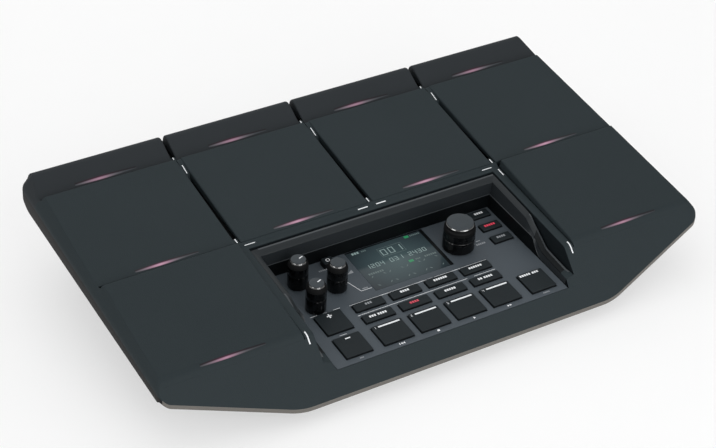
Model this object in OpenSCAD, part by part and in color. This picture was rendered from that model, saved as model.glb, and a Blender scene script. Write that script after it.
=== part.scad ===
// Electronic percussion pad: ten rubber striking pads in three shingled rows on a
// wedge-shaped case, with a sunken control panel between the two front pads.
// The pads and the frame are drawn on the sloping deck: x to the right, y to the back,
// z square to the deck, with the origin on the light line of the back row.

/* [Pads] */
// Distance between neighbouring pad columns
pad_pitch = 100; // [95:1:112]
// Gap between two pads of one row
slot_w = 3.4; // [2.6:0.1:5]
// Gap between the foot of one row and the row in front of it
row_gap = 0.9; // [0.6:0.1:1.4]
// Depth of the four bar pads at the back
bar_depth = 24.8; // [20:0.1:30]
// Depth of the four main pads
main_depth = 95; // [85:0.5:110]
// Depth of the two side pads
side_depth = 95; // [93:0.5:110]
// Inner edge of the side pads, from the middle
side_inner = 104.2; // [103:0.1:108]
// Slope of the bar pads, in degrees
bar_slope = 22.8; // [18:0.2:26]
// Slope of the main pads and the side pads, in degrees
pad_slope = 2.68; // [1.5:0.02:3.4]
// Lean of the back face of a main or side pad
back_lean = 3.2; // [2:0.1:4]
// Rounding along the back edge of the bar pads
bar_round = 6; // [4:0.2:7]
// Front edge of the bar pads, below the deck plane
bar_lip = 1.9; // [1:0.1:2.4]
// Front edge of the main pads, below the deck plane
main_lip = 0.3; // [0:0.05:1]
// Underside of every pad, below the deck plane
pad_foot = 4.2; // [4:0.1:5]
// Gap under a pad at rest
pad_lift = 0.8; // [0.6:0.05:0.95]
// Seam between a pad and the frame beside it
pad_seam = 0.15; // [0.1:0.05:0.3]
// Length of the light slit in each pad
slit_len = 45; // [30:1:60]
// Width of the light slit at its middle
slit_w = 2.6; // [1.8:0.1:3]
// Distance from a pad's front edge to its light slit
slit_back = 2.5; // [2.4:0.1:4]

/* [Frame] */
// Slope of the deck, rising to the back, in degrees
deck_tilt = 7.8; // [6:0.1:9]
// Height of the deck origin above the table
deck_h = 73; // [66:0.5:90]
// Reach of the frame outside the grid of pads
side_band = 3.7; // [3.4:0.1:8]
// Wall of the frame and of the bottom case
wall = 2.2; // [1.8:0.1:2.6]
// Tray under the pads
tray_t = 3; // [2.6:0.1:4]
// Rounding of the side edge of the frame
edge_round = 8; // [6:0.5:9]
// Lean of the edge above that rounding, in degrees
edge_lean = 35; // [30:1:40]
// Widest level of the side edge, below the deck plane
edge_drop = 7.4; // [6.6:0.1:8]
// Reach of the sloping front face from the side pads
apron = 30.7; // [29.5:0.1:36]
// Fall of the sloping front face for each millimetre forward
front_fall = 0.9; // [0.85:0.01:0.95]
// Distance from the front edge of the side pads to the bend of the deck
bend_back = 3.6; // [3.2:0.1:4]
// Height of the upright rim under the sloping front face
rim_h = 3.6; // [3:0.1:4.2]
// Width of each front chamfer
chamfer_w = 85.3; // [70:0.5:95]
// Depth of each front chamfer
chamfer_d = 23.8; // [20:0.2:26]
// Lower edge of the side skirts at the back, below the deck plane
skirt_drop = 20; // [17:0.5:24]
// Width of the strip between the main pads and the well
strip_w = 6.7; // [5:0.1:7]
// Width of the strip between the side pads and the well
side_strip_w = 6.85; // [5:0.05:7]
// Strip round the well, below the deck plane
strip_drop = 2; // [1.5:0.1:3]
// Channel between that strip and the side pads
channel_w = 1.9; // [1.2:0.1:3]

/* [Control well] */
// Side walls of the well
well_wall = 7; // [5.5:0.1:7.2]
// Back wall of the well
well_back_wall = 8.4; // [6:0.1:9]
// Distance from the back of the well to the fall of its side walls
well_fall_start = 47; // [40:0.5:52]
// Length of that fall
well_fall_run = 25; // [20:0.5:28]
// Low stretch of the side walls, below the deck plane
well_low = 15; // [12:0.5:17]
// Mid-line of the panel, behind the front edge of the side pads
panel_mid = 34.3; // [30:0.1:38]
// Panel at its mid-line, below the deck plane
panel_drop = 22.6; // [21:0.1:23.4]
// Slope of the panel against the deck, its back edge being the lower
panel_slope = 2.86; // [2.4:0.02:3.4]
// Thickness of the panel
panel_t = 2.5; // [2:0.1:3]
// Width of the display window
screen_w = 60.4; // [50:0.2:62]
// Depth of the display window
screen_d = 40.3; // [34:0.1:41]

/* [Keys and knobs] */
// Pitch of the four key columns
key_pitch = 27.6; // [25.5:0.1:28]
// Width of the keys in those columns
key_w = 22.4; // [18:0.1:23]
// Depth of the flat keys
flat_d = 7.4; // [6.4:0.1:7.8]
// Depth of the numbered keys
number_d = 18.6; // [15:0.1:19]
// Side of the square keys
square_w = 19.5; // [15:0.1:20]
// Width of the small keys at the right
small_w = 15.4; // [12:0.1:16]
// Height of a key above the panel
key_rise = 1.6; // [1:0.1:2.4]
// Gap between a key and its hole
key_gap = 0.35; // [0.2:0.05:0.5]
// Diameter of the three knobs
knob_d = 14; // [11:0.1:14.8]
// Height of the knobs above the panel
knob_h = 22.5; // [15:0.5:25]
// Diameter of the value dial at its foot
dial_d = 22.8; // [18:0.2:23.6]
// Diameter of the value dial at its top
dial_top_d = 20; // [15:0.1:20.6]
// Height of the value dial above the panel
dial_h = 21.5; // [16:0.5:24]
// Diameter of the shafts in the knobs and the dial
shaft_d = 6; // [5:0.1:6.4]
// Gap under the knobs, the dial and the keys' stems
press_lift = 0.9; // [0.75:0.05:0.98]

/* [Bottom case] */
// Floor of the bottom case
floor_t = 2.5; // [2:0.1:3.4]
// Height of the rubber feet
foot_h = 4.5; // [3:0.5:5]
// Diameter of the rubber feet
foot_d = 16; // [12:0.5:22]
// Setback of the base under the front rim
undercut = 9; // [7:0.5:11]
// Setback of the base under the side skirts
base_inset = 40; // [36:1:44]
// Width of each front chamfer of the base
base_chamfer_w = 58; // [50:1:66]
// Depth of each front chamfer of the base
base_chamfer_d = 31; // [26:1:34]
// Spacing of the stand inserts, side to side
stand_x = 100; // [80:1:130]
// Spacing of the stand inserts, front to back
stand_y = 75; // [60:1:90]
// Bore of the stand inserts
stand_bore = 4.2; // [3.2:0.1:4.6]
// Bore of the large jacks
jack_bore = 6.4; // [6.3:0.05:6.6]
// Bore of the small jacks
mini_bore = 3.6; // [3.5:0.05:3.8]
// Bore of the power inlet
dc_bore = 5.6; // [5:0.1:6]
// Diameter of the power button
power_d = 9; // [7:0.2:10]

/* [Hidden] */
$fn = 64;

// Clearance between pieces seated in one another
seat = 0.3;
// Running gap round a shaft
shaft_fit = 0.05;
// Overlap that joins two shapes of one solid
join = 0.5;
// Reach of a cut past the solid it cuts
past = 60;
// Reach of a small cut past the face it opens
over = 1;

// Lines across the deck, from the back to the front
bar_front = -slit_back;
bar_back = bar_front + bar_depth;
main_back = bar_front - row_gap;
main_front = main_back - main_depth;
side_back = main_front - row_gap;
side_front = side_back - side_depth;
bend_y = side_front + bend_back;
front_y = side_front - apron;
shoulder_y = front_y + chamfer_d;
back_in = bar_back + pad_seam;
back_y = back_in + wall;
columns = [for (i = [0 : 3]) (i - 1.5) * pad_pitch];

// Lines along the deck, from the outside to the middle
half_w = 2 * pad_pitch + side_band;
nose_w = half_w - chamfer_w;
skirt_in = half_w - wall;
pad_out = skirt_in - pad_seam;
strip_out = side_inner - channel_w;
well_open = strip_out - side_strip_w;
well_out = well_open - seat;
well_in = well_out - well_wall;
panel_half = well_in - seat;

// Levels square to the deck
function front_z(y) = front_fall * (y - bend_y);
tray_z = -pad_foot - pad_lift;
tray_foot = tray_z - tray_t;
rim_top = front_z(front_y);
skirt_front = front_z(shoulder_y) - rim_h;
apron_root = bend_y + (tray_foot + rim_h) / front_fall;
back_top = -1;
back_edge = 1;
corner_r = 6;
shoulder_r = 8;
nose_r = 60;

// The well and its panel
well_open_y = main_front - strip_w;
well_back_y = well_open_y - seat;
well_fall_y = well_back_y - well_fall_start;
panel_y = side_front + panel_mid;
panel_fall = tan(panel_slope);
lip_y = (panel_fall * panel_y - panel_drop + front_fall * bend_y) / (front_fall + panel_fall);
panel_front = (lip_y + 2 * seat - panel_y) / cos(panel_slope);
panel_back = (well_back_y - well_back_wall - panel_y) / cos(panel_slope);
ledge = 1;
ledge_t = 3;
wall_step = 0.6;
wall_step_z = 9;
jamb_reach = 1.4;
jamb_foot = -panel_drop - jamb_reach;

// The stack under the panel
board_t = 1.6;
switch_w = 6;
switch_h = 3.2;
flange = 0.5;
flange_t = 0.8;
flange_top = panel_t + seat;
stem_reach = 0.4;
stem_end = flange_top + flange_t + stem_reach;
board_top = stem_end + press_lift + switch_h;
stem_d = 4;
post_d = 4;
window_sink = 0.2;

// Places of the keys and knobs on the panel
middle_x = 2.2;
key_columns = [for (i = [0 : 3]) middle_x + (i - 1.5) * key_pitch];
edge_gap = 5;
row_space = 5;
back_gap = 1.9;
square_gap = 9.6;
shift_gap = 5.5;
small_gap = 2.85;
small_space = 6.9;
number_v = panel_front + edge_gap + number_d / 2;
loop_v = number_v + number_d / 2 + row_space + flat_d / 2;
mode_v = loop_v + flat_d + row_space;
square_x = -(panel_half - square_gap - square_w / 2);
minus_v = panel_front + edge_gap + square_w / 2;
plus_v = minus_v + square_w + row_space;
shift_x = panel_half - shift_gap - square_w / 2;
small_x = panel_half - small_gap - small_w / 2;
small_pitch = flat_d + small_space;
small_v = panel_back - back_gap - flat_d / 2;
click_w = 8;
click_d = 6.6;
click_x = -43;
click_v = panel_back - back_gap - click_d / 2;
click_lift = 2.4;
click_rise = key_rise + click_lift;
screen_x = 2.8;
screen_gap = 2.7;
screen_v = panel_back - screen_gap - screen_d / 2;
module_margin = [4, 1.5];
// Knobs from the back left corner of the panel, and the dial from its back right corner;
// the front knob stands a small gap behind the plus key
knob_gap = 0.95;
front_knob = panel_back - plus_v - square_w / 2 - knob_gap - knob_d / 2;
knob_at = [[16.65, 15.25], [38.25, 29.55], [15.75, front_knob]];
dial_at = [42.1, 28.35];
knob_x = [for (p = knob_at) p[0] - panel_half];
knob_v = [for (p = knob_at) panel_back - p[1]];
dial_x = panel_half - dial_at[0];
dial_v = panel_back - dial_at[1];
pot_w = 11;
pot_head = 0.7;
bush_wall = 0.9;
bush_d = shaft_d + 2 * bush_wall;
bush_end = 0.5;
knob_step = 1.5;
knob_cap_d = knob_d - 2 * knob_step;
knob_skirt = 3;
knob_collar = 1;
knob_edge = 0.4;
dial_edge = 0.8;
shaft_in_pot = 3;
shaft_top = 15;
post_x = [(square_x + square_w / 2 + key_columns[0] - key_w / 2) / 2,
          (shift_x - square_w / 2 + key_columns[3] + key_w / 2) / 2];

// A key is [x, v, width, depth, rise]
function flat_key(i, v) = [key_columns[i], v, key_w, flat_d, key_rise];
function number_key_at(i) = [key_columns[i], number_v, key_w, number_d, key_rise];
function small_key_at(i) = [small_x, small_v - i * small_pitch, small_w, flat_d, key_rise];
plus_at = [square_x, plus_v, square_w, square_w, key_rise];
minus_at = [square_x, minus_v, square_w, square_w, key_rise];
shift_at = [shift_x, minus_v, square_w, square_w, key_rise];
click_at = [click_x, click_v, click_w, click_d, click_rise];
keys = concat(
  [for (i = [0 : 3]) flat_key(i, mode_v)],
  [for (i = [0 : 3]) flat_key(i, loop_v)],
  [for (i = [0 : 3]) number_key_at(i)],
  [for (i = [0 : 2]) small_key_at(i)],
  [plus_at, minus_at, shift_at, click_at]
);

// Places of the light slits on the deck
slits = concat(
  [for (x = columns) [x, bar_front + slit_back, -bar_lip + slit_back * tan(bar_slope)]],
  [for (x = columns) [x, main_front + slit_back, -main_lip + slit_back * tan(pad_slope)]],
  [for (x = [columns[0], columns[3]]) [x, side_front + slit_back, front_z(side_front + slit_back)]]
);
slit_gap = 0.3;
pipe_sink = 0.1;
light_board_t = 1.2;
light_board_d = 8;
light_board_edge = 4;
sensor_d = 16;
sensor_h = 1.1;
sensor_sink = 1.4;
sensors = concat(
  [for (x = columns) [x, (bar_front + bar_back) / 2]],
  [for (x = columns) [x, (main_front + main_back) / 2]],
  [for (x = [columns[0], columns[3]]) [x, (side_front + side_back) / 2]]
);

// From the deck to the table: y to the back and z up, before the shift to the origin
function level_y(y, z) = y * cos(deck_tilt) - z * sin(deck_tilt);
case_back = level_y(back_y, -skirt_drop);
case_front = level_y(front_y, rim_top) + undercut;
deck_y = -(case_back + level_y(front_y, rim_top)) / 2;
case_shoulder = case_front + base_chamfer_d;
case_half = half_w - base_inset;
case_nose = case_half - base_chamfer_w;
case_back_in = case_back - wall;
pan_gap = 1.2;
pan_z = tray_foot - light_board_t - pan_gap;
pan_t = 2;

// Inside the bottom case
floor_top = foot_h + floor_t;
foot_gap = 4;
foot_x = case_half - foot_d / 2 - foot_gap;
foot_y = [case_shoulder + deck_y + foot_d, case_back + deck_y - foot_d];
boss_d = 8;
screw_d = 2.4;
screw_head_d = 5.6;
screw_head_h = 2;
head_pocket = 1.6;
head_gap = 0.2;
screw_len = 12;
boss_gap = 1;
boss_ahead = 28;
boss_behind = 14;
boss_x = case_half - wall - boss_d / 2 - boss_gap;
boss_rows = [(side_front + side_back) / 2, main_front + boss_ahead, main_back - boss_behind];
boss_y = [for (y = boss_rows) level_y(y, tray_foot) + deck_y];
insert_d = 7;
insert_h = 8;
insert_boss_d = 11;
insert_boss_h = 9;
main_board_half = 149;
main_board_d = 92;
board_lift = 11;
main_board_z = floor_top + board_lift;
board_post_d = 7;
plate_t = 1.2;
plate_half = 152;
plate_margin = 4;
plate_lift = 5;
plate_foot = floor_top + plate_lift;
plate_h = 34;
plate_in = case_back_in - plate_t + deck_y;
jack_lift = 7;
jack_z = main_board_z + board_t + jack_lift;
socket_step = main_board_half / 5;
jack_x = [for (i = [0 : 4]) (i - 4.4) * socket_step];
jack_body = [16, 24, 14];
collar_d = 11.4;
collar_sink = 0.6;
mini_x = [0.7 * socket_step, 1.4 * socket_step];
mini_body = [9, 14, 12];
mini_collar_d = 6.6;
usb_x = 2.25 * socket_step;
usb_body = [9, 7.6, 3.4];
usb_mouth = [8.3, 6.4, 2.5];
dc_x = 3.2 * socket_step;
dc_body = [11, 14, 13];
dc_depth = 12;
dc_collar_d = 8.6;
power_x = 4.25 * socket_step;
power_body = [12, 14, 13];
power_sink = 0.4;
power_rise = wall - power_sink;
power_cap_in = 4;
power_stem = 4;
power_stem_in = 6;
power_travel = 1.5;

// A point of a closed outline is [x, y, radius]; the outline comes back with its corners rounded
function unit(v) = v / norm(v);
function spot(p) = [p[0], p[1]];
function turn(a, b) = (b - a + 540) % 360 - 180;
function corner_arc(a, b, c, r) =
  let (u = unit(a - b), v = unit(c - b), half = acos(u * v) / 2,
       hub = b + unit(u + v) * r / sin(half),
       from = b + u * r / tan(half) - hub,
       to = b + v * r / tan(half) - hub,
       start = atan2(from[1], from[0]),
       sweep = turn(start, atan2(to[1], to[0])),
       steps = max(2, ceil(abs(sweep) / 9)))
  [for (i = [0 : steps]) hub + r * [cos(start + sweep * i / steps), sin(start + sweep * i / steps)]];
function rounded(corners) =
  let (n = len(corners))
  [for (i = [0 : n - 1])
    each corner_arc(spot(corners[(i + n - 1) % n]), spot(corners[i]), spot(corners[(i + 1) % n]),
                    corners[i][2])];
function plan(half, back, shoulder, nose, front, r) = rounded([
  [half, back, r], [-half, back, r], [-half, shoulder, shoulder_r],
  [-nose, front, nose_r], [nose, front, nose_r], [half, shoulder, shoulder_r]
]);
function arc(hub, r, from, to, steps) =
  [for (i = [0 : steps]) let (a = from + (to - from) * i / steps) hub + r * [cos(a), sin(a)]];

module on_deck() {
  translate([0, deck_y, deck_h]) rotate([deck_tilt, 0, 0]) children();
}

module on_panel() {
  on_deck() translate([0, panel_y, -panel_drop]) rotate([-panel_slope, 0, 0]) children();
}

// A profile given as [y, z] points, drawn out along x
module along_x(from, to, points) {
  translate([from, 0, 0]) rotate([90, 0, 90]) linear_extrude(to - from) polygon(points);
}

// A box given by two opposite corners
module block(a, b) {
  translate(a) cube(b - a);
}

// Everything inside the plan of the deck and under its rounded side edges
module edge_clip(half, back, r) {
  bevel_top = 20;
  hub = [half_w - edge_round, -edge_drop];
  knee = hub + edge_round * [cos(edge_lean), sin(edge_lean)];
  top = [knee[0] - (bevel_top - knee[1]) * tan(edge_lean), bevel_top];
  right = concat([[half_w, -past]], arc(hub, edge_round, 0, edge_lean, 5), [top]);
  left = [for (i = [len(right) - 1 : -1 : 0]) [-right[i][0], right[i][1]]];
  intersection() {
    translate([0, 0, -past]) linear_extrude(2 * past)
      polygon(plan(half, back, shoulder_y, nose_w, front_y, r));
    rotate([90, 0, 0]) linear_extrude(8 * past, center = true) polygon(concat(right, left));
  }
}

// A slit with pointed ends, where two large arcs meet
module spindle(w, h) {
  r = (pow(slit_len / 2, 2) + pow(w / 2, 2)) / w;
  half = asin(slit_len / 2 / r);
  steps = 10;
  tip = 0.01;
  lower = arc([0, r - w / 2], r, 270 - half, 270 + half, steps);
  linear_extrude(h) polygon(concat(
    arc([0, w / 2 - r], r, 90 - half, 90 + half, steps),
    [for (p = lower) if (abs(p[0]) < slit_len / 2 - tip) p]
  ));
}

module slit_cuts(gap) {
  for (s = slits) translate([s[0], s[1], -past]) spindle(slit_w + 2 * gap, 2 * past);
}

// Pads

function bar_profile() =
  let (hub_y = bar_back - bar_round,
       plane = -bar_lip + (hub_y - bar_front) * tan(bar_slope),
       hub = [hub_y, plane - bar_round / cos(bar_slope)])
  concat([[bar_front, -pad_foot], [bar_back, -pad_foot]], arc(hub, bar_round, 0, 90 + bar_slope, 12),
         [[bar_front, -bar_lip]]);
function main_profile() = [
  [main_front, -pad_foot], [main_back, -pad_foot],
  [main_back - back_lean, -main_lip + (main_depth - back_lean) * tan(pad_slope)],
  [main_front, -main_lip]
];
function side_profile() = [
  [side_front, -pad_foot], [side_back, -pad_foot],
  [side_back - back_lean, (side_back - back_lean - bend_y) * tan(pad_slope)],
  [bend_y, 0], [side_front, front_z(side_front)]
];

module pad(from, to, profile) {
  color("#33373a") on_deck() difference() {
    intersection() {
      along_x(from, to, profile);
      edge_clip(pad_out, bar_back, corner_r - wall);
    }
    slit_cuts(slit_gap);
  }
}

function pad_left(i) = i == 0 ? -half_w : columns[i] - pad_pitch / 2 + slot_w / 2;
function pad_right(i) = i == 3 ? half_w : columns[i] + pad_pitch / 2 - slot_w / 2;
module bar_pad(i) { pad(pad_left(i), pad_right(i), bar_profile()); }
module main_pad(i) { pad(pad_left(i), pad_right(i), main_profile()); }
module side_pad_left() { pad(-half_w, -side_inner, side_profile()); }
module side_pad_right() { pad(side_inner, half_w, side_profile()); }

// Frame

module frame_shell() {
  profile = [
    [back_y, -skirt_drop], [back_y, back_top - back_edge], [back_y - back_edge, back_top],
    [back_in, back_top], [back_in, tray_z], [side_front - pad_seam, tray_z],
    [side_front - pad_seam, front_z(side_front - pad_seam)],
    [front_y, rim_top], [front_y, rim_top - rim_h], [apron_root, tray_foot],
    [back_in, tray_foot], [back_in, -skirt_drop]
  ];
  skirt = [
    [back_y, -skirt_drop], [back_y, 0], [bend_y, 0],
    [shoulder_y, front_z(shoulder_y)], [shoulder_y, skirt_front]
  ];
  along_x(-half_w, half_w, profile);
  along_x(skirt_in, half_w, skirt);
  along_x(-half_w, -skirt_in, skirt);
}

// The raised strip round the well and the jambs that hang below it
module frame_strip() {
  root = tray_z - join;
  strip = [
    [well_open_y, root], [well_open_y, -strip_drop],
    [bend_y - strip_drop / front_fall, -strip_drop], [bend_y + root / front_fall, root]
  ];
  jamb = [
    [well_open_y, root], [bend_y + root / front_fall, root],
    [lip_y, front_z(lip_y) - join], [lip_y, jamb_foot], [well_open_y, jamb_foot]
  ];
  block([-strip_out, well_open_y, root], [strip_out, main_front - 2 * pad_seam, -strip_drop]);
  for (side = [0, 1]) mirror([side, 0, 0]) {
    along_x(well_open, strip_out, strip);
    along_x(well_open, well_open + wall, jamb);
  }
}

// Webs that stand in the slots where the corners of four pads meet
module frame_webs() {
  web_w = slot_w - 2 * seat;
  web_top = -0.8;
  web_back = 4.5;
  web_front = 6;
  web_toe = 1;
  for (x = [-pad_pitch, 0, pad_pitch]) {
    block([x - web_w / 2, main_back - web_front, tray_z - join],
          [x + web_w / 2, bar_front + web_back, web_top]);
    block([x - web_w / 2, main_front - web_toe, tray_z - join],
          [x + web_w / 2, main_front + web_back, web_top]);
  }
}

module boss_places() {
  for (side = [-1, 1], y = boss_y) translate([side * boss_x, y, 0]) children();
}

module top_frame() {
  color("#34383b") difference() {
    union() {
      on_deck() intersection() {
        union() {
          frame_shell();
          frame_strip();
          frame_webs();
        }
        edge_clip(half_w, back_y, corner_r);
      }
      intersection() {
        boss_places() translate([0, 0, floor_top]) cylinder(d = boss_d, h = past + deck_h);
        on_deck() block([-half_w, 2 * front_y, -2 * past], [half_w, back_y, tray_foot + join]);
      }
    }
    on_deck() {
      block([-well_open, lip_y, -past], [well_open, well_open_y, past]);
      slit_cuts(pad_seam);
      for (s = sensors) translate([s[0], s[1], tray_z - sensor_sink])
        cylinder(d = sensor_d + seat, h = past);
    }
    boss_places() translate([0, 0, floor_top - over])
      cylinder(d = screw_d + 2 * shaft_fit, h = screw_len + 2 * over);
  }
}

// Light pipes, their boards and the strike sensors

module light_pipes() {
  color("#d894ae") on_deck()
    for (s = slits) translate([s[0], s[1], tray_foot]) spindle(slit_w, s[2] - pipe_sink - tray_foot);
}

module light_boards() {
  end = slit_len / 2 + light_board_edge;
  color("#2f5b3a") on_deck() {
    for (row = [[slits[0], slits[3]], [slits[4], slits[7]], [slits[8], slits[8]], [slits[9], slits[9]]])
      block([row[0][0] - end, row[0][1] - slit_w / 2 - join, tray_foot - light_board_t],
            [row[1][0] + end, row[1][1] - slit_w / 2 - join + light_board_d, tray_foot]);
  }
}

module pad_sensors() {
  color("#b08d57") on_deck()
    for (s = sensors) translate([s[0], s[1], tray_z - sensor_sink]) cylinder(d = sensor_d, h = sensor_h);
}

// Control well and panel

module control_well() {
  low_y = bend_y - well_low / front_fall;
  end_y = lip_y + seat;
  profile = [
    [well_back_y, -past], [well_back_y, -strip_drop], [well_fall_y, -strip_drop],
    [well_fall_y - well_fall_run, -well_low], [low_y, -well_low],
    [end_y, front_z(end_y)], [end_y, -past]
  ];
  color("#1d2124") difference() {
    on_deck() along_x(-well_out, well_out, profile);
    on_panel() {
      block([-well_in, 2 * panel_front, -panel_t], [well_in, panel_back + seat, past]);
      block([-well_in - wall_step, 2 * panel_front, wall_step_z],
            [well_in + wall_step, panel_back + seat + wall_step, past]);
      block([-panel_half + ledge, panel_front + ledge, -past],
            [panel_half - ledge, panel_back - ledge, past]);
      block([-half_w, 4 * panel_front, -3 * past], [half_w, 4 * panel_back, -panel_t - ledge_t]);
    }
  }
}

module key_hole(k) {
  translate([k[0], k[1], 0]) linear_extrude(past, center = true)
    square([k[2] + 2 * key_gap, k[3] + 2 * key_gap], center = true);
}

module pot_places() {
  for (i = [0 : 2]) translate([knob_x[i], knob_v[i], 0]) children();
  translate([dial_x, dial_v, 0]) children();
}

module control_panel() {
  color("#3e454b") on_panel() {
    difference() {
      block([-panel_half, panel_front, -panel_t], [panel_half, panel_back, 0]);
      for (k = keys) key_hole(k);
      key_hole([screen_x, screen_v, screen_w, screen_d]);
      pot_places() cylinder(d = bush_d + 2 * seat, h = past, center = true);
    }
    for (x = post_x) translate([x, loop_v, -board_top]) cylinder(d = post_d, h = board_top - join);
  }
}

module display_window() {
  color("#38444a") on_panel()
    block([screen_x - screen_w / 2, screen_v - screen_d / 2, -panel_t],
          [screen_x + screen_w / 2, screen_v + screen_d / 2, -window_sink]);
}

module display_module() {
  half = [screen_w / 2 + module_margin[0], screen_d / 2 + module_margin[1]];
  color("#8f9699") on_panel()
    block([screen_x - half[0], screen_v - half[1], -board_top],
          [screen_x + half[0], screen_v + half[1], -panel_t]);
}

module panel_board() {
  color("#2f5b3a") on_panel()
    block([-panel_half + 2 * ledge, panel_front + 2 * ledge, -board_top - board_t],
          [panel_half - 2 * ledge, panel_back - 2 * ledge, -board_top]);
}

module key_switches() {
  color("#202224") on_panel()
    for (k = keys) translate([k[0], k[1], switch_h / 2 - board_top])
      cube([switch_w, switch_w, switch_h], center = true);
}

// A key: its cap, the flange that keeps it under the panel, and the stem over its switch
module key(k) {
  foot = flange_top + flange_t;
  color("#2f3437") on_panel() translate([k[0], k[1], 0]) {
    translate([0, 0, -foot]) linear_extrude(foot + k[4]) square([k[2], k[3]], center = true);
    translate([0, 0, -foot]) linear_extrude(flange_t)
      square([k[2] + 2 * flange, k[3] + 2 * flange], center = true);
    translate([0, 0, -stem_end]) cylinder(d = stem_d, h = stem_end);
  }
}

module mode_key(i) { key(flat_key(i, mode_v)); }
module loop_key(i) { key(flat_key(i, loop_v)); }
module number_key(i) { key(number_key_at(i)); }
module plus_key() { key(plus_at); }
module minus_key() { key(minus_at); }
module shift_key() { key(shift_at); }
module menu_key() { key(small_key_at(0)); }
module exit_key() { key(small_key_at(1)); }
module enter_key() { key(small_key_at(2)); }
module click_key() { key(click_at); }

// Knobs, dial and what carries them

module shaft_bore() {
  translate([0, 0, -over]) cylinder(d = shaft_d + 2 * shaft_fit, h = shaft_top + over + shaft_fit);
}

module knob(i) {
  profile = [
    [0, press_lift], [knob_d / 2, press_lift], [knob_d / 2, knob_h - knob_skirt - knob_collar],
    [knob_d / 2 - knob_edge, knob_h - knob_skirt], [knob_cap_d / 2, knob_h - knob_edge],
    [knob_cap_d / 2 - knob_edge, knob_h], [0, knob_h]
  ];
  color("#15181b") on_panel() translate([knob_x[i], knob_v[i], 0]) difference() {
    rotate_extrude() polygon(profile);
    shaft_bore();
  }
}

module value_dial() {
  profile = [
    [0, press_lift], [dial_d / 2, press_lift], [dial_top_d / 2, dial_h - dial_edge],
    [dial_top_d / 2 - dial_edge, dial_h], [0, dial_h]
  ];
  color("#15181b") on_panel() translate([dial_x, dial_v, 0]) difference() {
    rotate_extrude() polygon(profile);
    shaft_bore();
  }
}

module pot_shaft(x, v) {
  foot = panel_t + pot_head + shaft_in_pot;
  color("#9da1a3") on_panel() translate([x, v, -foot]) cylinder(d = shaft_d, h = foot + shaft_top);
}

module knob_shaft(i) { pot_shaft(knob_x[i], knob_v[i]); }
module dial_shaft() { pot_shaft(dial_x, dial_v); }

// Potentiometer and encoder bodies, each with a threaded bush round its shaft
module pot_bodies() {
  body_top = panel_t + pot_head;
  color("#6f7376") on_panel() pot_places() difference() {
    union() {
      translate([-pot_w / 2, -pot_w / 2, -board_top]) cube([pot_w, pot_w, board_top - body_top]);
      translate([0, 0, -body_top - join]) cylinder(d = bush_d, h = body_top + join - bush_end);
    }
    translate([0, 0, -body_top - shaft_in_pot - press_lift])
      cylinder(d = shaft_d + 2 * shaft_fit, h = past);
  }
}

// Bottom case

// Everything that lies under the frame, with room for the light boards
module under_frame() {
  gap = 0.1;
  apron_foot = 2 * front_y;
  pan_front = apron_root + (pan_z + gap - tray_foot) / front_fall;
  on_deck() along_x(-half_w, half_w, [
    [past, -skirt_drop - gap], [back_in - gap, -skirt_drop - gap], [back_in - gap, pan_z],
    [pan_front, pan_z], [apron_foot, pan_z + front_fall * (apron_foot - pan_front)],
    [apron_foot, -4 * past], [past, -4 * past]
  ]);
}

// The thin pan of the bottom case that closes the frame between the skirts and the base
module case_pan() {
  reach = skirt_in - seat;
  on_deck() intersection() {
    block([-reach, apron_root, pan_z - pan_t], [reach, back_in - seat, pan_z]);
    translate([0, 0, -past]) linear_extrude(past)
      polygon(plan(reach, back_in - seat, shoulder_y, nose_w, front_y, corner_r));
  }
}

module case_prism(inset, foot, h) {
  translate([0, deck_y, foot]) linear_extrude(h)
    polygon(plan(case_half - inset, case_back - inset, case_shoulder + inset / 2,
                 case_nose - inset / 4, case_front + inset, corner_r));
}

module insert_places() {
  for (x = [-1, 1], y = [-1, 1]) translate([x * stand_x / 2, y * stand_y / 2, 0]) children();
}

module board_posts() {
  reach = [main_board_half - board_post_d, main_board_d - board_post_d];
  back = plate_in - seat - board_post_d;
  for (x = [-1, 0, 1], y = [0, 1])
    translate([x * reach[0], back - y * (reach[1] - board_post_d), 0]) children();
}

module bottom_case() {
  tall = deck_h + past;
  window = [plate_half - plate_margin, plate_h - 2 * plate_margin];
  color("#26292c") difference() {
    union() {
      intersection() {
        difference() {
          union() {
            case_prism(0, foot_h, tall);
            case_pan();
          }
          case_prism(wall, floor_top, tall);
        }
        under_frame();
      }
      board_posts() translate([0, 0, foot_h + join])
        cylinder(d = board_post_d, h = main_board_z - foot_h - join);
      insert_places() translate([0, 0, foot_h]) cylinder(d = insert_boss_d, h = insert_boss_h);
    }
    translate([-window[0], case_back_in + deck_y - over, plate_foot + plate_margin])
      cube([2 * window[0], wall + 2 * over, window[1]]);
    insert_places() {
      cylinder(d = insert_d + 2 * shaft_fit, h = foot_h + insert_h);
      cylinder(d = stand_bore, h = past);
    }
    boss_places() {
      cylinder(d = screw_d + 2 * seat, h = past);
      cylinder(d = screw_head_d + 2 * seat, h = foot_h + head_pocket);
    }
  }
}

module rubber_feet() {
  color("#1b1c1d")
    for (x = [-1, 1], y = foot_y) translate([x * foot_x, y, 0]) cylinder(d = foot_d, h = foot_h);
}

module case_screws() {
  seat_z = foot_h + head_pocket;
  color("#8b8f92") boss_places() {
    translate([0, 0, seat_z - screw_head_h + head_gap])
      cylinder(d = screw_head_d, h = screw_head_h - head_gap);
    translate([0, 0, seat_z - head_gap]) cylinder(d = screw_d, h = screw_len + floor_top - seat_z);
  }
}

module stand_inserts() {
  color("#b5954e") insert_places() translate([0, 0, foot_h]) difference() {
    cylinder(d = insert_d, h = insert_h);
    translate([0, 0, -over]) cylinder(d = stand_bore, h = insert_h + 2 * over);
  }
}

module main_board() {
  color("#2f5b3a")
    block([-main_board_half, plate_in - seat - main_board_d, main_board_z],
          [main_board_half, plate_in - seat, main_board_z + board_t]);
}

// Sockets at the back

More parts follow.
